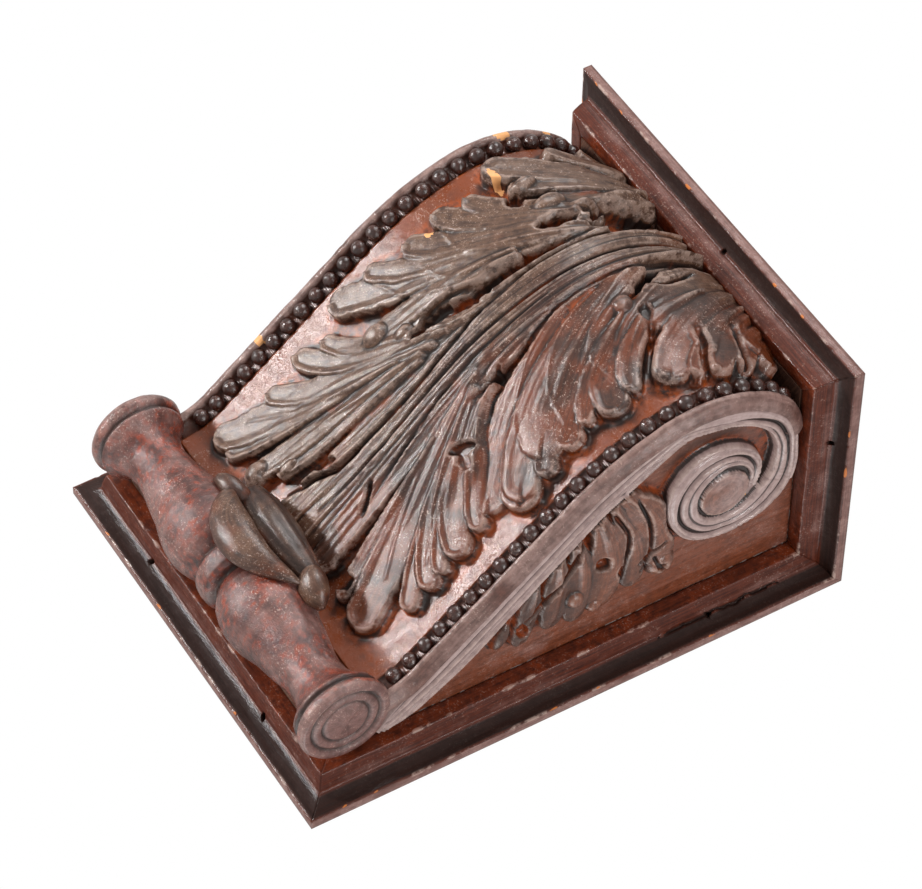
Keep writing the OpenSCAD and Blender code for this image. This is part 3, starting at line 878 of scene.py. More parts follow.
    def build(self) -> bpy.types.Object:
        """Make the front as a closed shell.

        Returns:
            The piece, with the finish's values stored on its points.
        """
        relief = self.relief()
        rows, cols = relief.height.shape
        y, z = self.curve.place(self.s, relief.height)
        z = np.minimum(z, self.plan.under + 0.4)
        top = np.stack([self.x, y, z], axis=-1).reshape(-1, 3)
        base = []
        for edge in (-self.half, self.half):
            by, bz = self.curve.place(self.s[:, 0], np.full(rows, -9.0))
            base.append(np.stack([np.full(rows, edge), by, np.minimum(bz, self.plan.under)], axis=-1))
        points = np.vstack([top] + base)
        n, left, right = rows * cols, rows * cols, rows * cols + rows
        faces = [tuple(f) for f in grid_faces(rows, cols)]
        for i in range(rows - 1):
            a, b = i * cols, (i + 1) * cols
            faces.append((a, b, left + i + 1, left + i))
            faces.append((b + cols - 1, a + cols - 1, right + i, right + i + 1))
            faces.append((left + i, left + i + 1, right + i + 1, right + i))
        faces.append(tuple(range(cols)) + (right, left))
        faces.append(tuple(range(n - 1, n - cols - 1, -1)) + (left + rows - 1, right + rows - 1))
        obj = new_object(self.name, points, faces)
        face_outwards(obj)
        # hollow darkens the leaf's hollows and creases with painted shade; arris puts a painted highlight on its
        # ridges.
        hollow = hollowness(relief.height, 5)
        fine = hollowness(relief.height, 2)
        # Greyer to the left, towards the top and on the leaf rather than the ground: partly the wood's tone,
        # partly a painted pale sheen.
        grey = smooth(0.1, 0.9, 0.55 - self.x / 60 + 0.5 * smooth(150, 215, self.s)
                      + 0.4 * Noise(9).rough(self.s / 22, self.x / 22))
        blush = smooth(0.1, 0.5, Noise(12).rough(self.s / 16, self.x / 16) + self.x / 150)
        warm = 1.0 - relief.leaf + 0.55 * relief.leaf * blush
        grey = grey * (0.25 + 0.75 * relief.leaf)
        patch = smooth(-0.2, 0.3, Noise(13).rough(self.s / 9, self.x / 9))
        amber = smooth(0.2, 1.2, hollowness(relief.height, 8)) * (0.25 + 0.75 * patch) * (1 - 0.4 * relief.leaf)
        chip = np.zeros(self.s.shape)
        flake = Noise(14).at(self.s * 0.9, self.x * 0.9)
        for centre, size, turn in self.chips:
            chip = np.maximum(chip, (oval(self.s, self.x, centre, size, turn) + 0.3 * flake < 1) * 1.0)
        store(obj, self.s.shape, hollow=hollow, arris=-fine, across=relief.across, along=relief.along,
              warm=warm, grey=grey, amber=amber, chip=chip)
        return obj


# ---------------------------------------------------------------- sides, bands, beads


def close_shell(obj: bpy.types.Object, depth_x: float) -> None:
    """Close a sheet by drawing its open edges to a plane of constant X and capping them.

    Args:
        obj: The sheet.
        depth_x: X of the hidden plane, in millimetres.
    """
    bm = bmesh.new()
    bm.from_mesh(obj.data)
    edges = [e for e in bm.edges if e.is_boundary]
    made = bmesh.ops.extrude_edge_only(bm, edges=edges)["geom"]
    for v in (g for g in made if isinstance(g, bmesh.types.BMVert)):
        v.co.x = depth_x * MM
    rim = [e for e in bm.edges if e.is_boundary]
    bmesh.ops.holes_fill(bm, edges=rim, sides=0)
    bmesh.ops.recalc_face_normals(bm, faces=bm.faces)
    bm.to_mesh(obj.data)
    bm.free()


class Zone(Enum):
    """Which part of a carved side a point is on."""

    PANEL = 0
    BAND = 1
    ROUNDEL = 2
    EYE = 3
    LEAF = 4


@dataclass
class SideCarving:
    """One carved side: the S band, the volute with its roundel, the leaf spray and the plain panel."""

    plan: Plan
    curve: SCurve
    side: Side
    step: float = 0.5
    eye: tuple[float, float] = (-73.0, 72.5)
    eye_r: float = 11.6
    roll_r: float = 20.5
    arris_in: float = 2.2
    back: float = -15.7

    @property
    def name(self) -> str:
        """Name of the piece."""
        return f"console_{self.side.name.lower()}_side"

    def front_path(self) -> np.ndarray:
        """The band's front arris, from under the roll round its back and up the S curve."""
        turn = np.radians(np.linspace(-92, 62, 24))
        arc = np.array(ROLL_CENTRE) + self.roll_r * np.stack([np.cos(turn), np.sin(turn)], axis=1)
        s = np.linspace(7, self.curve.length, 110)
        y, z = self.curve.place(s, np.full(s.shape, -self.arris_in))
        return np.vstack([arc, np.stack([y, z], axis=1)])

    def rear_path(self) -> np.ndarray:
        """The band's rear edge, up from under the roll and round the inside of the volute's crescent."""
        up = [(-41, -122.6), (-30, -118.5), (-22.5, -111), (-19, -97), (-19, -86), (-21, -78), (-28, -64),
              (-40, -46), (-52, -32), (-64, -18), (-78, -2), (-90, 12), (-98, 24), (-107, 38.5), (-113.4, 50),
              (-114, 57.5)]
        crescent = [(-12, 40.4), (0, 37.5), (19, 34.4), (38, 31.0), (58, 27.0), (75, 23.0), (90, 20.4),
                    (106, 17.5)]
        ring = [(self.eye[0] - r * math.cos(math.radians(a)), self.eye[1] + r * math.sin(math.radians(a)))
                for a, r in crescent]
        return spline(np.array(up + ring), 150)

    def spiral(self, line: str, turn: np.ndarray) -> np.ndarray:
        """Radius of one of the volute's spiral lines, its angle counted on over two turns.

        Args:
            line: Name of the line: edge, groove or inner.
            turn: Angle, 0 to the front and 90 up, on to 466 where the spiral closes on the eye.

        Returns:
            Radii in millimetres.
        """
        turns, radii = {
            "edge": ([106, 119, 139, 156, 187, 213, 244, 276, 298, 316, 332, 347, 360, 372, 395, 417, 443, 466],
                     [34.6, 33.6, 31.0, 28.2, 26.0, 26.2, 26.2, 27.8, 30.0, 31.0, 30.6, 29.4, 27.6, 25.9, 23.3,
                      21.2, 18.3, 16.4]),
            "groove": ([106, 139, 180, 230, 270, 330, 360, 405, 425, 450, 466],
                       [28.8, 24.9, 21.2, 21.0, 21.5, 22.6, 21.2, 17.4, 16.2, 14.6, 13.8]),
            "inner": ([106, 140, 180, 270, 330, 360, 405, 425, 450, 466],
                      [17.5, 15.4, 13.5, 12.7, 13.9, 15.4, 13.8, 13.1, 12.5, 12.2]),
        }[line]
        return np.interp(turn, turns, radii)

    def ridges(self, out: np.ndarray, groove: np.ndarray, left: np.ndarray, plain: np.ndarray) -> np.ndarray:
        """Height of the moulded band off the panel: a broad ridge, a deep groove and a second ridge.

        Args:
            out: Distance in from the outer arris.
            groove: Distance of the main groove from the outer arris.
            left: Distance from the inner edge.
            plain: Share of the volute's plainer second ridge, 0 down the straight of the band.

        Returns:
            Heights in millimetres.
        """
        h = self.plan.relief - 0.9 * (1 - smooth(0.0, 1.2, out)) - 0.95 * bump(out, 2.0, 0.55)
        middle = np.clip(2 * (out - 1.9) / np.maximum(groove - 1.9, 1.0) - 1, -1, 1)
        h = h - 0.45 * middle**2 * (out < groove)
        h = h - 2.6 * bump(out, groove, 1.1)
        t = (out - groove) / np.maximum(out - groove + left, 0.5)
        h = h - (2.6 * (1 - plain)) * bump(t, 0.42, 0.10) - 1.3 * bump(t, 0.66 - 0.14 * plain, 0.08)
        return h - 0.9 * (1 - smooth(0.0, 1.0, left)) - 0.3 * plain * (t > 0) * (2 * t - 1) ** 2

    def volute(self, r: np.ndarray, turn: np.ndarray) -> np.ndarray:
        """Height of the roundel off the panel, with the eye in it.

        Args:
            r: Distance from the eye's centre.
            turn: Angle, counted on over two turns.

        Returns:
            Heights in millimetres.
        """
        edge, groove, inner = (self.spiral(line, turn) for line in ("edge", "groove", "inner"))
        h = self.ridges(edge - r, edge - groove, r - inner, np.ones(r.shape))
        dip = self.plan.relief - 2.6 * smooth(0.0, 1.6, inner - self.eye_r + 0.2)
        eye = self.plan.relief + 0.5 - 0.9 * (r / self.eye_r) ** 2 - 0.25 * bump(r, 6.0, 1.2)
        return np.where(r < self.eye_r - 0.3, eye, np.where(r < inner, dip, h))

    def spray(self, carving: Carving) -> None:
        """Carve the leaf that fills the corner between the band and the roundel.

        Args:
            carving: The side's carving, in Y and Z.
        """
        top = self.plan.relief
        for tip, bend, root, width, rise, scoop in [
            ((-46, 42.5), (-74, 42.0), (-99, 25), 9.4, top + 1.6, 0.5),
            ((-40, 29.0), (-66, 33.0), (-94, 20), 6.6, top + 1.0, 0.4),
            ((-36, 12.0), (-60, 24.0), (-90, 13), 9.2, top + 1.4, 0.3),
            ((-34, 1.5), (-56, 9.0), (-83, 3), 6.6, top + 0.6, 0.4),
            ((-36, -9.5), (-54, -3.0), (-76, -5), 7.2, top + 0.4, 0.3),
            ((-33, -23.0), (-48, -17.0), (-66, -15), 5.6, top - 0.6, 0.2),
        ]:
            carving.finger(Finger(tip, bend, root, width, rise - 1.0, rise, scoop, web=0.6, round_end=0.9,
                                  fall=0.5))
        for knob in (Knob((-47.5, 43.5), (7.4, 7.6), 20, top + 1.6), Knob((-49, 3.0), (5.2, 4.6), 0, top + 1.4),
                     Knob((-40, 12.5), (4.4, 4.8), 30, top + 0.6),
                     Knob((-43.5, -30), (8.0, 3.4), -25, top - 1.2)):
            carving.knob(knob)
        for cut in (Cut(((-86, 8), (-67, 0), (-51, -15), (-46, -21)), 4.6, 1.2),
                    Cut(((-94, 30), (-76, 36.5), (-58, 38), (-48, 34)), 3.2, 0.9),
                    Cut(((-90, 20), (-74, 27), (-60, 26.5), (-44, 24)), 3.4, 0.9),
                    Cut(((-53, 40), (-47, 42), (-43, 46), (-46, 49)), 2.4, 0.9),
                    Cut(((-60, 45), (-56, 38), (-53, 33)), 2.6, 1.0)):
            carving.cut(cut)
        for pit in (Pit((-63.5, 15.5), (5.0, 3.4), 15, 1.4), Pit((-42, -20.5), (4.6, 3.0), 20, 0.2),
                    Pit((-54, 24.0), (3.4, 1.6), 0, 1.6), Pit((-47, 43.0), (2.2, 2.4), 0, top - 1.4)):
            carving.pit(pit)

    def relief(self) -> Relief:
        """Carve the side over its grid."""
        plan = self.plan
        y = np.arange(-plan.depth - 0.6, self.back + 0.01, self.step)
        y[-1] = self.back
        z = np.arange(plan.foot + 2.5, plan.under + 0.3, self.step)
        self.y, self.z = np.meshgrid(y, z, indexing="ij")
        front = nearest(self.front_path(), self.y, self.z)
        rear = nearest(self.rear_path(), self.y, self.z)
        self.front = -front.across
        d_rear = rear.across
        dy, dz = self.y - self.eye[0], self.z - self.eye[1]
        r = np.hypot(dy, dz)
        turn = np.degrees(np.arctan2(dz, -dy)) % 360
        second = np.where(turn < 106, turn + 360, turn)
        edge = self.spiral("edge", second)
        noise = Noise(21 if self.side is Side.RIGHT else 22)
        panel = 0.12 * noise.at(self.y / 2.2, self.z / 30) - 0.1
        signed = np.where(turn > 200, turn - 360, turn)
        plain = smooth(-12, 30, signed) * (self.z > self.eye[1] - 25)
        groove_low = 0.445 * (self.front + np.maximum(d_rear, 0.0))
        groove_high = np.interp(signed, [-12, 0, 30, 60, 79, 106], [8.6, 9.0, 7.2, 5.2, 4.6, 5.8])
        groove_share = smooth(-30, 0, signed) * (self.z > self.eye[1] - 25)
        groove = groove_low + (groove_high - groove_low) * groove_share
        crown = np.interp(signed, [54, 58, 62, 66, 72, 79, 95, 106],
                          [40.6, 39.65, 38.6, 37.7, 36.6, 35.7, 34.95, 34.6])
        past = smooth(54, 63, signed)
        out = self.front + (crown - r - self.front) * past
        band = self.ridges(out, groove, np.maximum(d_rear, 0.0), plain)
        band = np.where((past > 0.5) & (out < 0), panel, band)
        self.open = (self.front > 0.3) | ((signed > 60) & (signed < 200) & (self.z > self.eye[1]))
        in_band = (d_rear > 0) & ((turn <= 106) | (turn >= 270) | (self.z < 10))
        height = np.where(in_band, panel + (band - panel) * smooth(0.0, 1.5, d_rear), panel)
        disc = self.volute(r, second)
        share = 1 - smooth(0.0, 1.7, r - edge + 1.5)
        disc = panel + (disc - panel) * share
        over_band = (turn >= 106) & (turn < 316)
        height = np.where((r < edge) & (~in_band | over_band), disc, height)
        carving = Carving(self.y, self.z, height, 31 if self.side is Side.RIGHT else 37)
        carving.across, carving.along = self.z.copy(), self.y.copy()
        spot = (r < edge + 0.6) | in_band
        before = height.copy()
        self.spray(carving)
        keep = spot & (carving.height < plan.relief + 0.9)
        carving.height = np.where(keep, before, carving.height)
        carving.leaf = np.where(keep, 0.0, carving.leaf)
        lead = np.where(in_band, front.along, np.where(r < edge, turn * 0.4, self.z))
        cross = np.where(in_band, self.front, np.where(r < edge, r, self.y))
        carving.along = np.where(carving.leaf > 0, carving.along, lead)
        carving.across = np.where(carving.leaf > 0, carving.across, cross)
        relief = carving.finish()
        in_band &= (past < 0.5) | (out > 0)
        self.zone = np.full(r.shape, Zone.PANEL.value)
        for zone, where in ((Zone.ROUNDEL, r < edge), (Zone.EYE, r < np.minimum(edge, self.eye_r)),
                            (Zone.BAND, in_band), (Zone.LEAF, relief.leaf > 0)):
            self.zone[where] = zone.value
        # The recess between the band and the roundel, darkened in build with painted shade.
        self.recess = self.on(Zone.PANEL) * smooth(46, 34, r) * smooth(-75, -35, signed) * (signed < 108)
        ragged = 1 + 0.5 * noise.at(self.y * 1.5, self.z * 1.5)
        chip = oval(self.y, self.z, (-65, 83.5), (1.3, 0.9), 30) * ragged
        self.chip = (chip < 1) * (self.side is Side.RIGHT) * 1.0
        relief.height -= 0.5 * self.chip
        return relief

    def on(self, zone: Zone) -> np.ndarray:
        """Which points are on a zone."""
        return self.zone == zone.value

    def build(self) -> bpy.types.Object:
        """Make the side as a closed shell.

        Returns:
            The piece, with the finish's values stored on its points.
        """
        relief = self.relief()
        rows, cols = relief.height.shape
        sign = self.side.value
        rear = nearest(self.rear_path(), self.y, self.z).across
        ring = (rear > -0.3) | (self.z > self.plan.foot + self.plan.strip_in)
        before_roll = (self.y < ROLL_CENTRE[0]) & (self.z < ROLL_CENTRE[1])
        keep = self.open & ring & ~before_roll
        x = self.plan.block_half + relief.height
        points = np.stack([sign * x, self.y, self.z], axis=-1).reshape(-1, 3)
        quads = grid_faces(rows, cols)
        quads = quads[keep.ravel()[quads].all(axis=1)]
        used = np.unique(quads)
        index = np.full(len(points), -1)
        index[used] = np.arange(len(used))
        obj = new_object(self.name, points[used], index[quads])
        hollow, fine = hollowness(relief.height, 5), hollowness(relief.height, 2)
        # Painted shade: the recess by the roundel and the low parts of the leaf spray are darkened through
        # hollow.
        hollow = np.maximum(hollow, 0.95 * self.recess)
        low_leaf = 1 - smooth(self.plan.relief - 1.6, self.plan.relief + 0.9, relief.height)
        hollow = np.maximum(hollow, 1.05 * low_leaf * self.on(Zone.LEAF))
        # Grey shares: partly the wood's tone, partly a painted pale sheen on the raised band, roundel and eye.
        greyness = {Zone.PANEL: 0.15, Zone.BAND: 1.0, Zone.ROUNDEL: 0.95, Zone.EYE: 0.55, Zone.LEAF: 0.15}
        grey = sum(share * self.on(zone) for zone, share in greyness.items())
        amber = smooth(0.4, 3.5, self.plan.relief - 1.0 - relief.height) * self.on(Zone.LEAF)
        near_leaf = np.clip(hollowness(relief.height, 8), 0, 3) / 2.2
        amber = np.maximum(amber, near_leaf * self.on(Zone.PANEL) * 0.8)
        store(obj, self.y.shape, used, hollow=hollow, arris=-fine, across=relief.across, along=relief.along,
              warm=0.35 * self.on(Zone.PANEL), grey=grey, amber=amber, chip=self.chip)
        close_shell(obj, sign * 70.0)
        return obj


@dataclass
class EdgeBand:
    """The rounded band down one edge of the front, with the small channel that holds the beads."""

    plan: Plan
    curve: SCurve
    side: Side
    step: float = 0.8

    def build(self) -> bpy.types.Object:
        """Sweep the band's section along the S curve.

        Returns:
            The piece, with the finish's values stored on its points.
        """
        section = np.array([
            (74.6, -9.0), (74.6, -1.3), (75.3, -1.5), (76.2, -2.2), (77.6, -2.7), (79.2, -2.8), (80.8, -2.6),
            (82.0, -1.8), (82.6, -0.6), (83.0, 0.5), (83.5, 1.3), (84.2, 1.7), (85.0, 1.65), (85.8, 1.3),
            (86.6, 0.7), (87.3, -0.1), (87.9, -0.9), (88.4, -1.7), (88.8, -2.5), (89.0, -3.4), (89.0, -4.4),
            (88.2, -5.6), (84.0, -9.0)])
        rough = Noise(41 if self.side is Side.RIGHT else 43)
        s = np.arange(-5.0, self.curve.length - 1.0, self.step)
        n = len(section)
        run, k = np.meshgrid(s, np.arange(n), indexing="ij")
        x, h = section[k, 0], section[k, 1]
        skin = (k > 0) & (k < n - 2)
        worn = 0.45 * rough.rough(run / 7, x / 3) * skin
        h = h + worn - 0.35 * np.clip(rough.at(run / 3.1, x / 4), 0.3, 1) * (k > 9) * (k < 18)
        y, z = self.curve.place(run, h)
        z = np.minimum(z, self.plan.under + 0.2)
        points = np.stack([self.side.value * x, y, z], axis=-1)
        obj = sweep(f"console_{self.side.name.lower()}_edge_band", points)
        chip = np.zeros(run.shape)
        for at, size in ((181.0, 4.2), (46.0, 2.2), (204.0, 2.6)):
            spot = np.hypot((run - at) / size, (k - 12.0) / 4.0) + 0.3 * rough.at(run, k * 0.7)
            chip = np.maximum(chip, (spot < 0.9) * (self.side is Side.LEFT))
        # The bead channel is darkened and made less grey with painted shade; arris puts a painted highlight
        # along the band's crown.
        channel = ((k > 1) & (k < 9)) * 1.0
        store(obj, run.shape, hollow=channel * 1.2, arris=bump(k, 11.0, 2.0), across=x, along=run,
              warm=0.5 * channel, grey=0.75 + 0.3 * rough.at(run / 12, x / 9) - channel * 0.6,
              amber=channel * 0.35, chip=chip)
        return obj


@dataclass
class BeadRow:
    """A row of turned beads in the channel of one edge, laid by Geometry Nodes along the S curve."""

    plan: Plan
    curve: SCurve
    side: Side
    pitch: float = 8.8
    diameter: float = 7.1
    offset: float = 79.2
    start: float = 6.0
    seed: int = 7

    def rail(self) -> bpy.types.Object:
        """The line of the beads' centres, as a mesh of plain edges."""
        s = np.linspace(self.start, self.curve.length - 8, 240)
        y, z = self.curve.place(s, np.full(s.shape, -0.35))
        points = np.stack([np.full(s.shape, self.side.value * self.offset), y, z], axis=1) * MM
        mesh = bpy.data.meshes.new("bead_rail")
        mesh.from_pydata(points.tolist(), [(i, i + 1) for i in range(len(s) - 1)], [])
        obj = bpy.data.objects.new(f"console_{self.side.name.lower()}_beads", mesh)
        bpy.context.scene.collection.objects.link(obj)
        return obj

    def tree(self, material: bpy.types.Material) -> bpy.types.NodeTree:
        """Build the node tree that turns a rail into a row of beads.

        Args:
            material: Finish of the beads.

        Returns:
            The Geometry Nodes tree, with its sizes as named inputs.
        """
        tree = bpy.data.node_groups.new("bead_row", "GeometryNodeTree")
        face = tree.interface
        face.new_socket(name="Geometry", in_out="OUTPUT", socket_type="NodeSocketGeometry")
        face.new_socket(name="Geometry", in_out="INPUT", socket_type="NodeSocketGeometry")
        for name, kind, value in (("Pitch", "Float", self.pitch * MM),
                                  ("Diameter", "Float", self.diameter * MM), ("Unevenness", "Float", 0.05),
                                  ("Chatter", "Float", 0.00022), ("Seed", "Int", self.seed)):
            socket = face.new_socket(name=name, in_out="INPUT", socket_type=f"NodeSocket{kind}")
            socket.default_value = value
        given = add_node(tree, "NodeGroupInput").outputs
        curve = add_node(tree, "GeometryNodeMeshToCurve", inputs={"Mesh": given["Geometry"]})
        spaced = add_node(tree, "GeometryNodeResampleCurve", {"mode": "LENGTH"},
                          {"Curve": curve.outputs["Curve"], "Length": given["Pitch"]})
        radius = add_sum(tree, "MULTIPLY", given["Diameter"], 0.5)
        ball = add_node(tree, "GeometryNodeMeshUVSphere",
                        inputs={"Segments": 28, "Rings": 18, "Radius": radius})
        low, high = (add_sum(tree, kind, 1.0, given["Unevenness"]) for kind in ("SUBTRACT", "ADD"))
        size = add_node(tree, "FunctionNodeRandomValue", {"data_type": "FLOAT"},
                        {2: low, 3: high, "Seed": given["Seed"]})
        turn = add_node(tree, "FunctionNodeRandomValue", {"data_type": "FLOAT_VECTOR"},
                        {1: (6.28, 6.28, 6.28), "Seed": given["Seed"]})
        lay = add_node(tree, "GeometryNodeInstanceOnPoints", inputs={
            "Points": spaced.outputs["Curve"], "Instance": ball.outputs["Mesh"],
            "Scale": size.outputs[1], "Rotation": turn.outputs[0]})
        real = add_node(tree, "GeometryNodeRealizeInstances", inputs={"Geometry": lay.outputs["Instances"]})
        rough = add_node(tree, "ShaderNodeTexNoise", inputs={"Scale": 420.0, "Detail": 3.0})
        about_zero = add_sum(tree, "SUBTRACT", rough.outputs["Fac"], 0.5)
        amount = add_sum(tree, "MULTIPLY", about_zero, given["Chatter"])
        normal = add_node(tree, "GeometryNodeInputNormal")
        push = add_node(tree, "ShaderNodeVectorMath", {"operation": "SCALE"},
                        {"Vector": normal.outputs["Normal"], "Scale": amount})
        move = add_node(tree, "GeometryNodeSetPosition",
                        inputs={"Geometry": real.outputs["Geometry"], "Offset": push.outputs["Vector"]})
        smoothed = add_node(tree, "GeometryNodeSetShadeSmooth", inputs={"Geometry": move.outputs["Geometry"]})
        dressed = add_node(tree, "GeometryNodeSetMaterial",
                           inputs={"Geometry": smoothed.outputs["Geometry"], "Material": material})
        add_node(tree, "NodeGroupOutput", inputs={"Geometry": dressed.outputs["Geometry"]})
        return tree

    def build(self, material: bpy.types.Material) -> bpy.types.Object:
        """Lay the beads and turn the result into a plain mesh.

        Args:
            material: Finish of the beads.

        Returns:
            The piece.
        """
        rail = self.rail()
        tree = self.tree(material)
        modifier = rail.modifiers.new("beads", "NODES")
        modifier.node_group = tree
        names = {s.name: s.identifier for s in tree.interface.items_tree if s.in_out == "INPUT"}
        modifier[names["Seed"]] = self.seed + (0 if self.side is Side.RIGHT else 5)
        modifier[names["Pitch"]] = self.pitch * MM
        bpy.context.view_layer.update()
        mesh = bpy.data.meshes.new_from_object(rail.evaluated_get(bpy.context.evaluated_depsgraph_get()))
        rail.modifiers.clear()
        rail.data = mesh
        return rail


# ---------------------------------------------------------------- roll, tie and block


@dataclass
class FootRoll:
    """The turned roll across the foot, waisted towards each end and flanged, with a ring at its middle."""

    sides: int = 112
    step: float = 0.7

    def radius(self, x: np.ndarray) -> np.ndarray:
        """Radius of the turned profile at each distance from the ring.

        Args:
            x: Distances along the roll, from its middle.

        Returns:
            Radii in millimetres.
        """
        at = [0, 3.5, 5.2, 6.2, 7.4, 9, 13, 17, 22, 27, 32, 36, 41, 48, 53, 58, 64, 70, 74, 77, 79.6, 81, 82.4,
              83.4, 85, 87.2, 88.2]
        r = [17.6, 17.3, 16.0, 13.4, 13.3, 14.6, 17.2, 18.5, 19.3, 19.3, 18.5, 17.3, 15.8, 14.6, 13.6, 12.5,
             11.9, 12.6, 14.2, 16.4, 18.9, 19.2, 17.6, 19.4, 20.4, 20.4, 19.6]
        return np.interp(np.abs(x), at, r)

    def build(self) -> bpy.types.Object:
        """Turn the roll and carve its end faces.

        Returns:
            The piece, with the finish's values stored on its points.
        """
        edge = 88.2
        x = np.arange(-edge, edge + 0.01, self.step)
        x[-1] = edge
        body = list(zip(x, self.radius(x)))
        face = [(19.6, 88.7), (18.6, 89.0), (17.4, 89.0), (16.6, 88.6), (15.9, 87.6), (15.2, 87.4), (14.6, 87.9),
                (13.8, 88.6), (12.6, 88.8), (11.6, 88.5), (10.9, 87.6), (10.3, 87.5), (9.7, 88.2), (8.6, 88.7),
                (6.0, 88.9), (3.0, 88.95), (0.6, 89.0)]
        left = [(-xx, rr) for rr, xx in reversed(face)]
        right = [(xx, rr) for rr, xx in face]
        line = np.array(left + body + right)
        fine = spline(line, 430)
        turn = np.linspace(0, 2 * math.pi, self.sides, endpoint=False)
        noise, grain = Noise(51), Noise(52)
        xx, t = np.meshgrid(fine[:, 0], turn, indexing="ij")
        rr = np.repeat(fine[:, 1][:, None], self.sides, axis=1)
        wave = np.cos(t) * 2.2 + 9
        lump = 0.38 * noise.rough(xx / 9, wave * 2 + np.sin(t) * 3) + 0.16 * grain.rough(xx / 2.0, t * 7)
        seam = 0.5 - 0.5 * np.cos(t)
        lump = lump * seam
        rr = np.maximum(rr + lump * smooth(1.0, 6.0, rr), 0.3)
        xx = xx + (0.25 * noise.at(rr / 4, wave) * seam) * (np.abs(xx) > 87)
        y, z = ROLL_CENTRE[0] + rr * np.cos(t), ROLL_CENTRE[1] + rr * np.sin(t)
        xx = np.clip(xx, -89.4, 89.4)
        obj = sweep("console_foot_roll", np.stack([xx, y, z], axis=-1))
        groove = bump(np.abs(xx), 81.9, 1.6) + bump(np.abs(xx), 6.9, 1.4)
        ends = (np.abs(xx) > 87.0) * 1.0
        groove = groove + ends * (bump(rr, 15.4, 0.9) + bump(rr, 10.5, 0.8))
        around = t * 15
        patch = 0.55 * Noise(53).rough(xx / 9, around / 6) + 1.0 * Noise(54).rough(xx / 1.5, around / 1.5)
        # hollow darkens the grooves with painted shade; arris puts a painted highlight on the roll's fullest
        # rims.
        store(obj, t.shape, hollow=groove * 1.4 - 0.3 * lump, across=t * 14, along=xx, amber=groove * 0.25,
              arris=bump(rr, 20.4, 0.7) + 0.4 * bump(rr, 17.5, 0.5),
              warm=0.85 * smooth(0.0, 0.4, patch) * (1 - ends),
              grey=0.45 + 0.3 * ends + 0.4 * noise.at(xx / 6, around / 6))
        return obj


@dataclass
class Horn:
    """A carved curl: a round or flattened tube along a path, with its own radius at each stop."""

    name: str
    stops: list[tuple[float, float, float, float]]
    flat: float = 0.75
    ribs: int = 0
    shade: float = 0.0
    seed: int = 61
    rings: int = 70
    sides: int = 40

    def build(self) -> bpy.types.Object:
        """Sweep the curl.

        Returns:
            The piece, with the finish's values stored on its points.
        """
        way = spline(np.array(self.stops), self.rings)
        path, radius = way[:, :3], np.maximum(way[:, 3], 0.15)
        along = np.gradient(path, axis=0)
        along /= np.linalg.norm(along, axis=1)[:, None]
        out = np.tile(np.array([0.0, -0.75, -0.25]), (len(path), 1))
        across = np.cross(along, out)
        across /= np.linalg.norm(across, axis=1)[:, None]
        out = np.cross(across, along)
        t = np.linspace(0, 2 * math.pi, self.sides, endpoint=False)
        k, tt = np.meshgrid(np.arange(len(path)), t, indexing="ij")
        noise = Noise(self.seed)
        rough = 1 + 0.05 * noise.rough(k / 9.0, np.cos(tt) * 1.7 + 6)
        if self.ribs:
            rough = rough + 0.05 * np.cos(self.ribs * tt)
        r = radius[k] * rough
        wide, deep = (r * np.cos(tt))[..., None], (r * self.flat * np.sin(tt))[..., None]
        obj = sweep(self.name, path[k] + across[k] * wide + out[k] * deep)
        # Painted shade: hollow darkens the whole curl by its shade setting, and the dips in its surface.
        store(obj, r.shape, hollow=self.shade + 5.0 * (1 - rough), across=tt * radius[k], along=k * 0.8,
              warm=0.4 * smooth(0.1, 0.5, noise.rough(k / 8.0, tt)),
              grey=0.5 + 0.4 * noise.at(k / 14.0, np.cos(tt) + 3))
        return obj


class Tie:
    """The curled leaf tips that lap over the middle of the foot roll."""

    def build(self) -> list[bpy.types.Object]:
        """Make the crescent, its small curls and the bud."""
        y, z = ROLL_CENTRE
        pod = Horn("console_tie_crescent", [
            (-27, y - 17.0, z + 11.5, 0.9), (-23, y - 20.0, z + 8.5, 3.8), (-15, y - 22.0, z + 4.0, 6.8),
            (-4, y - 23.0, z + 0.5, 8.8), (8, y - 23.0, z + 0.2, 8.2), (18, y - 22.5, z + 3.0, 5.8),
            (26, y - 20.5, z + 8.0, 3.2), (31, y - 18.0, z + 12.0, 0.9)], flat=0.62, seed=61)
        left = Horn("console_tie_left_curl", [
            (-36, y - 15.5, z + 9.5, 0.9), (-33, y - 18.0, z + 11.0, 2.8), (-28, y - 18.5, z + 12.5, 4.2),
            (-22, y - 17.0, z + 14.5, 4.0), (-15, y - 13.0, z + 17.5, 2.4)], flat=0.8, seed=62)
        bud = Horn("console_tie_right_bud", [
            (25, y - 17.0, z + 19.0, 1.6), (29, y - 17.5, z + 18.0, 5.2), (34, y - 16.5, z + 16.5, 6.4),
            (39, y - 14.5, z + 15.5, 5.0), (43, y - 12.0, z + 15.0, 1.4)], flat=0.85, ribs=3, seed=63)
        neck = Horn("console_tie_neck", [
            (-24, y - 12.0, z + 20.0, 5.4), (-8, y - 15.5, z + 17.0, 9.5), (8, y - 15.5, z + 16.6, 9.8),
            (27, y - 13.0, z + 18.5, 6.0)], flat=0.8, ribs=11, shade=0.9, seed=64)
        return [pod.build(), left.build(), bud.build(), neck.build()]


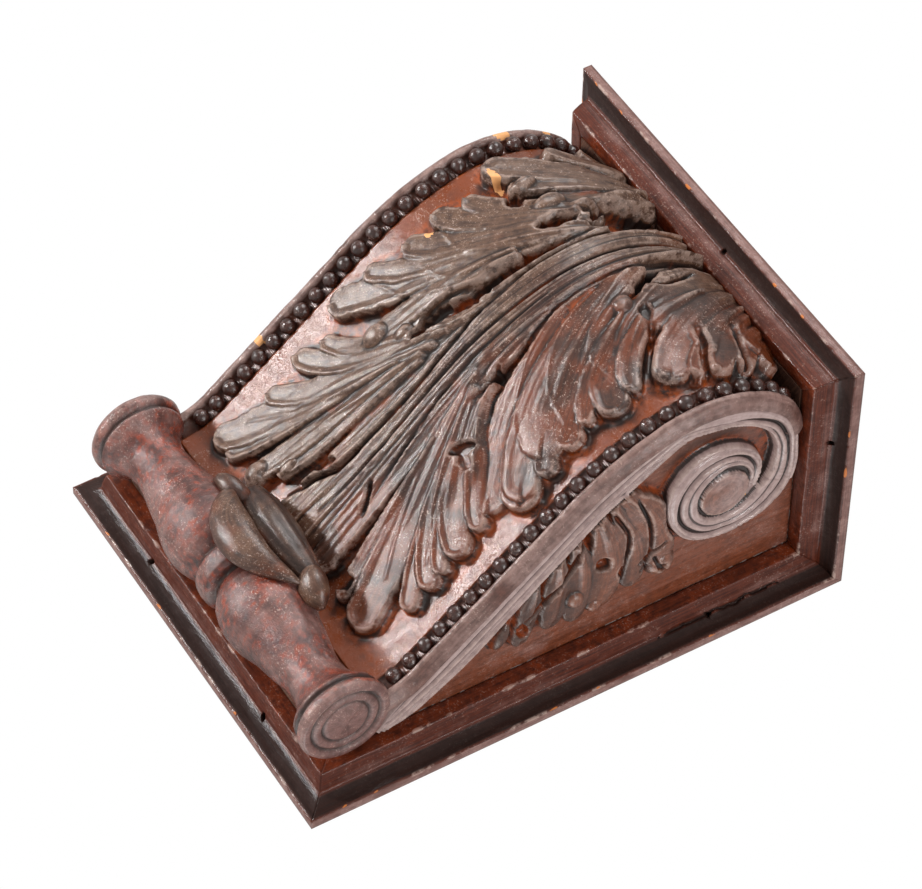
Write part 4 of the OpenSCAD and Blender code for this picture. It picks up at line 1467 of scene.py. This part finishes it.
@dataclass
class Core:
    """The heart of the block: the wall face, the seat and the hidden body behind the carving."""

    plan: Plan
    curve: SCurve
    inside: float = 5.0
    half: float = 82.4

    def build(self) -> bpy.types.Object:
        """Extrude the block's side outline across its width.

        Returns:
            The piece.
        """
        plan = self.plan
        s = np.linspace(4.0, self.curve.length, 80)
        y, z = self.curve.place(s, np.full(s.shape, -self.inside))
        front = [(a, b) for a, b in zip(y, z) if b < plan.under - 0.5]
        bottom = plan.foot + plan.strip_in
        shelf = -plan.depth + plan.strip_in
        outline = [(0.0, plan.seat), (0.0, bottom), (-34.0, bottom)] + front
        outline += [(front[-1][0], plan.under - 0.3), (shelf, plan.under - 0.3), (shelf, plan.seat)]
        n = len(outline)
        points = np.array([(side * self.half, a, b) for side in (-1, 1) for a, b in outline])
        faces = [tuple(range(n - 1, -1, -1)), tuple(range(n, 2 * n))]
        faces += [(i, (i + 1) % n, n + (i + 1) % n, n + i) for i in range(n)]
        obj = new_object("console_block", points, faces, smooth_faces=False)
        face_outwards(obj)
        store(obj, (len(points),), across=points[:, 0] + 0.5 * points[:, 1],
              along=points[:, 2] + 0.5 * points[:, 1], grey=0.3)
        return obj


# ---------------------------------------------------------------- the mitred strips


class Mitre(Enum):
    """How a strip's end is cut: across its face at a corner, or through its depth where the frame turns."""

    CORNER = "corner"
    TURN = "turn"


@dataclass
class Strip:
    """One length of the framing moulding, mitred at its ends and pinned with sunk nails."""

    plan: Plan
    node: str
    start: tuple[float, float, float]
    run: tuple[float, float, float]
    inward: tuple[float, float, float]
    outward: tuple[float, float, float]
    length: float
    mitres: tuple[Mitre, Mitre]
    nails: tuple[float, ...] = ()
    crack: tuple[float, float] | None = None
    seed: int = 71
    step: float = 0.75

    def section(self) -> np.ndarray:
        """The strip's section: how far in from its outer edge and out from its back, point by point."""
        deep, wide = self.plan.strip_out, self.plan.strip_in
        t = np.linspace(0, 1, 12)[1:-1]
        cove = np.stack([0.35 + 8.0 * t**0.72, 4.5 + 2.4 * t**1.9], axis=1)
        a = np.linspace(0, 1, 16)[1:-1]
        face = np.stack([9.0 + 1.75 * a**1.5, 7.3 + (deep - 7.6) * a], axis=1)
        return np.vstack([
            [(0.0, 0.0), (0.0, 1.4), (0.0, 2.8), (0.02, 3.9), (0.15, 4.3)], cove,
            [(8.45, 7.0), (8.75, 7.1)], face,
            [(10.85, deep - 0.12), (11.2, deep), (12.5, deep), (14.5, deep), (16.5, deep), (wide - 0.3, deep),
             (wide, deep - 0.3), (wide, deep * 0.5), (wide, 0.0), (9.0, 0.0)]])

    def stations(self) -> np.ndarray:
        """Stops along the strip, closer together at the nail holes."""
        stops = np.arange(0, self.length + 0.01, self.step)
        stops[-1] = self.length
        extra = [n + d for n in self.nails for d in np.arange(-2.4, 2.41, 0.3)]
        return np.unique(np.round(np.concatenate([stops, extra]), 3))

    def build(self) -> bpy.types.Object:
        """Sweep the strip with its wear, its nail holes and its crack.

        Returns:
            The piece, with the finish's values stored on its points.
        """
        section = self.section()
        n = len(section)
        stops = self.stations()
        along, k = np.meshgrid(stops, np.arange(n), indexing="ij")
        u, v = section[k, 0].copy(), section[k, 1].copy()
        grain = Noise(self.seed)
        girth = np.concatenate([[0], np.cumsum(np.linalg.norm(np.diff(section, axis=0), axis=1))])[k]
        body = (k > 1) & (k < n - 5)
        worn = 0.20 * grain.rough(along / 14, girth / 5) + 0.07 * grain.at(along / 9, girth / 0.7)
        arris = bump(girth, 4.4, 0.8) + bump(girth, girth[0, n - 10], 0.9)
        dent = np.clip(grain.at(along / 3.0, girth / 2 + 40) - 0.35, 0, 1) * 0.9 * arris
        v = v + (worn - 0.10) * body - dent * body
        u = u + 0.35 * dent * body
        hole = np.zeros(u.shape)
        crest_at = self.crest_girth(section)
        for at in self.nails:
            d = np.hypot(along - at, (girth - crest_at) * 0.9) + 0.35 * grain.at(along * 1.3, girth * 1.3)
            hole = np.maximum(hole, 1 - smooth(0.9, 1.5, d))
        gap = np.zeros(u.shape)
        if self.crack:
            low, high = self.crack
            path = crest_at + 0.8 * grain.at(along / 5.5, 9.0) + 0.35 * grain.at(along / 1.6, 3.0)
            open_by = 0.55 * smooth(low, low + 12, along) * (1 - smooth(high - 20, high, along)) + 1e-3
            gap = 1 - smooth(0.4, 1.0, np.abs(girth - path) / (open_by * 1.5))
            gap = gap * (along > low) * (along < high)
        sink = 3.2 * hole + 1.5 * gap
        u, v = u + 0.45 * sink, v - 0.9 * sink
        t = along / self.length
        cut0, cut1 = (u if m is Mitre.CORNER else v for m in self.mitres)
        place = along + cut0 * (1 - t) - cut1 * t
        start, run = np.array(self.start), np.array(self.run)
        inward, outward = np.array(self.inward), np.array(self.outward)
        points = start + place[..., None] * run + u[..., None] * inward + v[..., None] * outward
        obj = sweep(f"{self.node}_strip", points)
        # Painted shade darkens the cove and a little of the inner face, and the same darkening marks the nail
        # holes and the crack; the grey is a painted pale reflection on the fascia and a painted highlight along
        # the crest.
        cove = smooth(4.6, 6.0, girth) * (1 - smooth(11.5, 13.5, girth))
        crest = bump(girth, crest_at + 2.2, 2.4)
        inner = (girth > girth[0, n - 11]) * 1.0
        fascia = (girth < 4.3) * 1.0
        # Where along the strip the arrises carry their painted highlight.
        arris_highlight = smooth(0.15, 0.7, grain.rough(along / 6, 5.0) + 0.2)
        chip = arris * smooth(0.55, 0.85, grain.at(along / 5.0, girth / 1.6 + 11)) * (1 - inner)
        store(obj, u.shape, hollow=1.7 * cove + 4 * hole + 2.5 * gap + 0.2 * inner, arris=arris * arris_highlight,
              across=girth, along=along, grey=0.75 * fascia + 0.42 * crest, amber=0.34 * inner, chip=chip)
        return obj

    @staticmethod
    def crest_girth(section: np.ndarray) -> float:
        """Distance round the section from its outer back corner to the crest."""
        run = np.concatenate([[0], np.cumsum(np.linalg.norm(np.diff(section, axis=0), axis=1))])
        return float(run[np.argmin(np.hypot(section[:, 0] - 8.9, section[:, 1] - 7.2))])


@dataclass
class Frame:
    """The six strips: three round the back of the block and three round its seat."""

    plan: Plan

    def strips(self) -> list[Strip]:
        """Lay out the strips from the corbel's sizes."""
        p = self.plan
        half, foot, seat, depth = p.half, p.foot, p.seat, p.depth
        right, left, back, front = (1, 0, 0), (-1, 0, 0), (0, 1, 0), (0, -1, 0)
        up, down = (0, 0, 1), (0, 0, -1)
        corners, turned = (Mitre.CORNER, Mitre.CORNER), (Mitre.CORNER, Mitre.TURN)
        table = [
            ("bottom", (-half, 0, foot), (right, up, front), 2 * half, corners, (half - 51, half + 52), None),
            ("left_back", (-half, 0, foot), (up, right, front), p.height, turned, (150,), None),
            ("right_back", (half, 0, foot), (up, left, front), p.height, turned, (194,), (166, 236)),
            ("top_front", (-half, -depth, seat), (right, back, down), 2 * half, corners, (half + 12,), None),
            ("top_left", (-half, -depth, seat), (back, right, down), depth, turned, (60,), None),
            ("top_right", (half, -depth, seat), (back, left, down), depth, turned, (42,), None),
        ]
        return [Strip(p, f"{name}_moulding", start, *ways, length, mitres, nails, crack, 71 + k)
                for k, (name, start, ways, length, mitres, nails, crack) in enumerate(table)]


# ---------------------------------------------------------------- finishes


class NodeBench:
    """Builds a material's node tree in short steps."""

    def __init__(self, name: str) -> None:
        """Start a material with an empty tree.

        Args:
            name: Name of the material.
        """
        self.material = bpy.data.materials.new(name)
        self.material.use_nodes = True
        self.tree = self.material.node_tree
        self.tree.nodes.clear()
        self.place = add_node(self.tree, "ShaderNodeTexCoord").outputs["Object"]

    def value(self, name: str) -> bpy.types.NodeSocket:
        """Read a number stored on the mesh."""
        return add_node(self.tree, "ShaderNodeAttribute", {"attribute_name": name}).outputs["Fac"]

    def plus(self, a: object, b: object, clamp: bool = False) -> bpy.types.NodeSocket:
        """Add two numbers or sockets."""
        return add_sum(self.tree, "ADD", a, b, clamp)

    def minus(self, a: object, b: object) -> bpy.types.NodeSocket:
        """Subtract the second number or socket from the first."""
        return add_sum(self.tree, "SUBTRACT", a, b)

    def times(self, a: object, b: object) -> bpy.types.NodeSocket:
        """Multiply two numbers or sockets."""
        return add_sum(self.tree, "MULTIPLY", a, b)

    def step(self, value: object, low: float, high: float) -> bpy.types.NodeSocket:
        """Smooth step of a number from 0 at low to 1 at high."""
        return add_node(self.tree, "ShaderNodeMapRange", {"interpolation_type": "SMOOTHSTEP"},
                        {"Value": value, "From Min": low, "From Max": high}).outputs["Result"]

    def noise(self, where: bpy.types.NodeSocket, scale: float, detail: float = 3.0,
              rough: float = 0.55) -> bpy.types.NodeSocket:
        """Cloudy noise about 0.5.

        Args:
            where: Coordinates.
            scale: Cells a unit of the coordinates.
            detail: Layers of detail.
            rough: Strength of the finer layers.

        Returns:
            The noise.
        """
        return add_node(self.tree, "ShaderNodeTexNoise", inputs={
            "Vector": where, "Scale": scale, "Detail": detail, "Roughness": rough}).outputs["Fac"]

    def borders(self, where: bpy.types.NodeSocket, scale: float) -> bpy.types.NodeSocket:
        """Distance to the nearest border between scattered cells."""
        return add_node(self.tree, "ShaderNodeTexVoronoi", {"feature": "DISTANCE_TO_EDGE"},
                        {"Vector": where, "Scale": scale}).outputs["Distance"]

    def join(self, x: object, y: object, z: object) -> bpy.types.NodeSocket:
        """Make a vector of three numbers."""
        return add_node(self.tree, "ShaderNodeCombineXYZ", inputs={0: x, 1: y, 2: z}).outputs[0]

    def mix(self, share: object, a: object, b: object) -> bpy.types.NodeSocket:
        """Mix two colours by a share of the second."""
        return add_node(self.tree, "ShaderNodeMix", {"data_type": "RGBA"}, {0: share, 6: a, 7: b}).outputs[2]

    def bump(self, height: bpy.types.NodeSocket, depth_mm: float,
             under: bpy.types.NodeSocket | None = None) -> bpy.types.NodeSocket:
        """Turn a height of 0 to 1 into a normal.

        Args:
            height: The height.
            depth_mm: What a height of 1 stands for.
            under: A normal to build on.

        Returns:
            The normal.
        """
        inputs = {"Strength": 1.0, "Distance": depth_mm * MM, "Height": height}
        if under is not None:
            inputs["Normal"] = under
        return add_node(self.tree, "ShaderNodeBump", inputs=inputs).outputs[0]

    def shade(self, inputs: dict) -> bpy.types.Material:
        """Close the tree with the surface's shader.

        Args:
            inputs: What the shader's inputs hold, by name.

        Returns:
            The material.
        """
        shader = add_node(self.tree, "ShaderNodeBsdfPrincipled", inputs=inputs)
        add_node(self.tree, "ShaderNodeOutputMaterial", inputs={"Surface": shader.outputs[0]})
        return self.material


def paint(code: str) -> tuple[float, float, float, float]:
    """Linear colour, with its opacity, of a six-digit sRGB code."""
    parts = [int(code[i:i + 2], 16) / 255 for i in (0, 2, 4)]
    return (*(p / 12.92 if p <= 0.04045 else ((p + 0.055) / 1.055) ** 2.4 for p in parts), 1.0)


@dataclass(frozen=True)
class OldVarnish:
    """Dark stain under an old crackled varnish: the one finish of the corbel, in its several tones, with painted
    shade in its hollows and painted highlights and glints on its ridges.
    """

    name: str
    dark: str = "2a120d"
    base: str = "5a2a20"
    grey: str = "85746c"
    amber: str = "7a3306"
    warm: str = "7a3a22"
    # Colour of the painted shade in hollows and creases.
    crevice_shade: str = "1a0a05"
    chip: str = "dca068"
    grain_fine: float = 0.9
    grain_long: float = 0.05
    streak: float = 0.5
    specks: float = 0.35
    speck_colour: str = "a04a20"
    rough_low: float = 0.24
    rough_high: float = 0.50
    coat: float = 0.45
    coat_rough: float = 0.07
    sheen: float = 0.3
    crackle: float = 0.10
    grain_bump: float = 0.05
    even: float = 0.5
    glints: float = 0.3
    # Strength of the painted highlight along the arrises.
    edge_highlight: float = 0.2
    glint_colour: str = "c4aca0"
    stored: bool = True

    def build(self) -> bpy.types.Material:
        """Build the material."""
        b = NodeBench(self.name)
        if self.stored:
            hollow, arris, grey = b.value("hollow"), b.value("arris"), b.value("grey")
            amber, chip, warm = b.value("amber"), b.value("chip"), b.value("warm")
            across, along = b.value("across"), b.value("along")
            lie = b.join(b.times(across, self.grain_fine), b.times(along, self.grain_long), 0.0)
        else:
            hollow = arris = grey = amber = chip = warm = 0.0
            lie = b.place
        cloud = b.noise(b.place, 55.0, 4.0)
        mottle = b.noise(b.place, 260.0, 4.0, 0.65)
        grit = b.noise(b.place, 1500.0, 3.0, 0.7)
        fibre = b.noise(lie, 1.0 if self.stored else 300.0, 4.0, 0.6)
        tone = b.plus(b.times(fibre, self.streak), b.times(mottle, 1 - self.streak))
        colour = b.mix(b.step(tone, 0.26, 0.72), paint(self.dark), paint(self.base))
        colour = b.mix(b.times(warm, b.step(tone, 0.2, 0.6)), colour, paint(self.warm))
        # The grey share: partly the wood's patchy grey tone, partly a painted pale sheen and reflection on
        # raised surfaces.
        worn = b.plus(grey, b.times(b.minus(cloud, 0.5), 1.1))
        patchy = b.times(b.step(b.plus(fibre, mottle), 0.72, 1.25), 1 - self.even)
        worn = b.times(b.step(worn, 0.15, 0.95), b.plus(patchy, self.even))
        colour = b.mix(b.times(worn, 0.85), colour, paint(self.grey))
        # Painted highlight: a pale line along the arrises and ridges.
        arris_highlight = b.times(b.step(arris, 0.16, 0.6), b.step(mottle, 0.36, 0.56))
        colour = b.mix(b.times(arris_highlight, self.edge_highlight), colour, paint(self.glint_colour))
        speck = b.times(b.step(grit, 0.60, 0.72), b.step(mottle, 0.45, 0.62))
        colour = b.mix(b.times(speck, self.specks), colour, paint(self.speck_colour))
        sparkle = b.noise(b.place, 1150.0, 2.0, 0.8)
        glint = b.times(b.step(sparkle, 0.57, 0.68), b.step(b.plus(mottle, cloud), 0.90, 1.15))
        colour = b.mix(b.times(glint, self.glints), colour, paint(self.glint_colour))
        # Painted shade: hollows, coves, channels and recesses are darkened towards a near-black brown, which on
        # the strips also darkens the nail holes and the crack.
        deep = b.step(hollow, 0.2, 1.4)
        colour = b.mix(b.times(deep, 0.88), colour, paint(self.crevice_shade))
        # Painted shade in the fine creases between ridges.
        fine = b.step(b.times(arris, -1.0) if self.stored else 0.0, 0.06, 0.42)
        colour = b.mix(b.times(fine, 0.8), colour, paint(self.crevice_shade))
        glow = b.plus(amber, b.times(b.minus(cloud, 0.5), 0.6))
        glow = b.times(b.step(glow, 0.15, 0.9), b.step(mottle, 0.30, 0.60))
        colour = b.mix(glow, colour, paint(self.amber))
        colour = b.mix(b.step(chip, 0.4, 0.6), colour, paint(self.chip))
        gloss = b.times(b.step(mottle, 0.42, 0.60), b.plus(b.times(warm, 0.6), 0.4))
        rough = b.minus(self.rough_high, b.times(gloss, self.rough_high - self.rough_low))
        rough = b.plus(rough, b.times(deep, 0.25))
        rough = b.plus(rough, b.times(chip, 0.35), clamp=True)
        cracks = b.minus(1.0, b.step(b.borders(b.place, 620.0), 0.0, 0.09))
        height = b.minus(b.times(mottle, 0.9), b.times(cracks, 0.25))
        normal = b.bump(height, self.crackle * 1.4)
        normal = b.bump(grit, self.crackle, normal)
        normal = b.bump(fibre, self.grain_bump, normal)
        return b.shade({
            "Base Color": colour, "Roughness": rough, "Normal": normal, "IOR": 1.5,
            "Specular IOR Level": self.sheen, "Coat Weight": self.coat, "Coat Roughness": self.coat_rough,
            "Coat Normal": b.bump(grit, self.crackle * 1.6)})


class Finishes:
    """Every finish on the corbel."""

    def __init__(self) -> None:
        """Mix the finishes."""
        self.leaf = OldVarnish("leaf_varnish", dark="1c0c06", base="4c2818", grey="664d3c", warm="76340f",
                               amber="8f3e06", even=0.15, crackle=0.10, glints=0.6, streak=0.6,
                               coat=0.6, coat_rough=0.05, edge_highlight=0.28).build()
        self.side = OldVarnish("side_varnish", dark="3e1e10", base="80482f", grey="b09c9a", amber="8a3a0a",
                               specks=0.15, even=0.6, crackle=0.08, glints=0.3, rough_low=0.18, rough_high=0.44,
                               coat=0.7, coat_rough=0.05, edge_highlight=0.3).build()
        self.band = OldVarnish("band_varnish", dark="2c140d", base="643a2e", grey="8c726c", crackle=0.12,
                               even=0.4, glints=0.4, edge_highlight=0.1).build()
        self.bead = OldVarnish("bead_varnish", dark="160805", base="3e1c14", grey="5a443c", rough_low=0.16,
                               rough_high=0.34, coat=0.8, stored=False).build()
        self.roll = OldVarnish("roll_varnish", dark="2a100a", base="603028", grey="84625c", warm="8e320e",
                               speck_colour="a84020", specks=0.6, streak=0.15, crackle=0.18, glints=0.7,
                               rough_low=0.18, rough_high=0.42, coat=0.75, coat_rough=0.05, edge_highlight=0.1).build()
        self.strip = OldVarnish("strip_varnish", dark="2a0c06", base="602a18", grey="8c6e68", amber="a8440e",
                                chip="b86a30", speck_colour="9c4820", specks=0.3, streak=0.72, grain_fine=1.3,
                                grain_long=0.035, crackle=0.06, coat=0.16, sheen=0.24, edge_highlight=0.45).build()
        self.block = OldVarnish("block_wood", dark="38201a", base="6a4634", coat=0.05, rough_low=0.5,
                                rough_high=0.75, streak=0.85, grain_fine=0.8, grain_long=0.02, specks=0.1,
                                glints=0.05).build()


# ---------------------------------------------------------------- the studio


@dataclass
class Studio:
    """A pale floor, soft light and the camera."""

    floor_z: float = -2.4
    eye: tuple[float, float, float] = (1.015283, -1.398980, -0.618554)
    lens: float = 171.8
    air: float = 0.62

    def floor(self) -> bpy.types.Object:
        """A wide pale floor, a long way below the corbel."""
        mesh = bpy.data.meshes.new("studio_floor")
        size = 12.0
        corners = ((-size, -size), (size, -size), (size, size), (-size, size))
        mesh.from_pydata([(x, y, self.floor_z) for x, y in corners], [], [(0, 1, 2, 3)])
        obj = bpy.data.objects.new("studio_floor", mesh)
        bpy.context.scene.collection.objects.link(obj)
        material = bpy.data.materials.new("studio_floor")
        material.use_nodes = True
        material.node_tree.nodes["Principled BSDF"].inputs["Base Color"].default_value = (0.86, 0.86, 0.85, 1)
        material.node_tree.nodes["Principled BSDF"].inputs["Roughness"].default_value = 0.9
        mesh.materials.append(material)
        return obj

    def camera(self) -> None:
        """Set the camera up."""
        data = bpy.data.cameras.new("camera")
        data.lens = self.lens
        data.sensor_width = 36.0
        data.clip_end = 30.0
        obj = bpy.data.objects.new("camera", data)
        right = Vector((0.512491, -0.009681, 0.858638))
        up = -Vector((0.645843, 0.663325, -0.378002))
        back = -Vector((-0.565897, 0.748269, 0.346200))
        turn = Matrix((right, up, back)).transposed().to_4x4()
        obj.matrix_world = Matrix.Translation(self.eye) @ turn
        bpy.context.scene.collection.objects.link(obj)
        bpy.context.scene.camera = obj

    def lamp(self, name: str, place: tuple[float, float, float], size: float, power: float,
             colour: tuple[float, float, float] = (1.0, 1.0, 1.0)) -> None:
        """Hang one square soft light that faces the corbel.

        Args:
            name: Name of the light.
            place: Where it hangs, in metres.
            size: Length of its side.
            power: Its power in watts.
            colour: Its colour.
        """
        data = bpy.data.lights.new(name, "AREA")
        data.size = size
        data.energy = power
        data.color = colour
        obj = bpy.data.objects.new(name, data)
        obj.location = place
        obj.rotation_euler = (-Vector(place)).to_track_quat("-Z", "Y").to_euler()
        bpy.context.scene.collection.objects.link(obj)

    def build(self) -> None:
        """Light the scene."""
        world = bpy.data.worlds.new("studio")
        world.use_nodes = True
        tree = world.node_tree
        seen = tree.nodes["Background"]
        seen.inputs["Color"].default_value = (1.0, 1.0, 1.0, 1)
        light = add_node(tree, "ShaderNodeBackground", inputs={
            "Color": (1.0, 0.97, 0.95, 1), "Strength": self.air})
        path = add_node(tree, "ShaderNodeLightPath")
        pick = add_node(tree, "ShaderNodeMixShader", inputs={
            0: path.outputs["Is Camera Ray"], 1: light.outputs[0], 2: seen.outputs[0]})
        tree.links.new(pick.outputs[0], tree.nodes["World Output"].inputs["Surface"])
        bpy.context.scene.world = world
        self.floor()
        self.lamp("key_light", (-1.15, -1.0, -1.3), 0.3, 37.0)
        self.lamp("over_light", (-0.7, -1.9, 0.9), 0.6, 26.0)
        self.lamp("right_light", (1.9, -0.9, 0.3), 0.5, 20.0)
        self.lamp("wall_light", (0.9, 1.4, -0.9), 1.2, 14.0)
        self.camera()
        scene = bpy.context.scene
        scene.view_settings.view_transform = "Standard"
        scene.view_settings.look = "None"
        scene.view_settings.exposure = 0.0


# ---------------------------------------------------------------- putting it together


def dress(obj: bpy.types.Object, material: bpy.types.Material, node: str) -> None:
    """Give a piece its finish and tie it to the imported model.

    Args:
        obj: The piece.
        material: Its finish.
        node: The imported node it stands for.
    """
    obj.data.materials.clear()
    obj.data.materials.append(material)
    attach(obj, BODY)
    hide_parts(node)
    LOG.info("%s: %d faces", obj.name, len(obj.data.polygons))


def main() -> None:
    """Build the corbel, piece by piece, and the studio round it."""
    logging.basicConfig(level=logging.INFO, format="%(message)s")
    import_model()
    plan = Plan.from_frame()
    curve = SCurve(plan)
    Studio().build()
    finishes = Finishes()
    dress(LeafFront(plan, curve).build(), finishes.leaf, CONSOLE)
    dress(Core(plan, curve).build(), finishes.block, CONSOLE)
    dress(FootRoll().build(), finishes.roll, CONSOLE)
    for piece in Tie().build():
        dress(piece, finishes.leaf, CONSOLE)
    for side in Side:
        dress(SideCarving(plan, curve, side).build(), finishes.side, CONSOLE)
        dress(EdgeBand(plan, curve, side).build(), finishes.band, CONSOLE)
        dress(BeadRow(plan, curve, side).build(finishes.bead), finishes.bead, CONSOLE)
    for strip in Frame(plan).strips():
        dress(strip.build(), finishes.strip, strip.node)


if __name__ == "__main__":
    main()
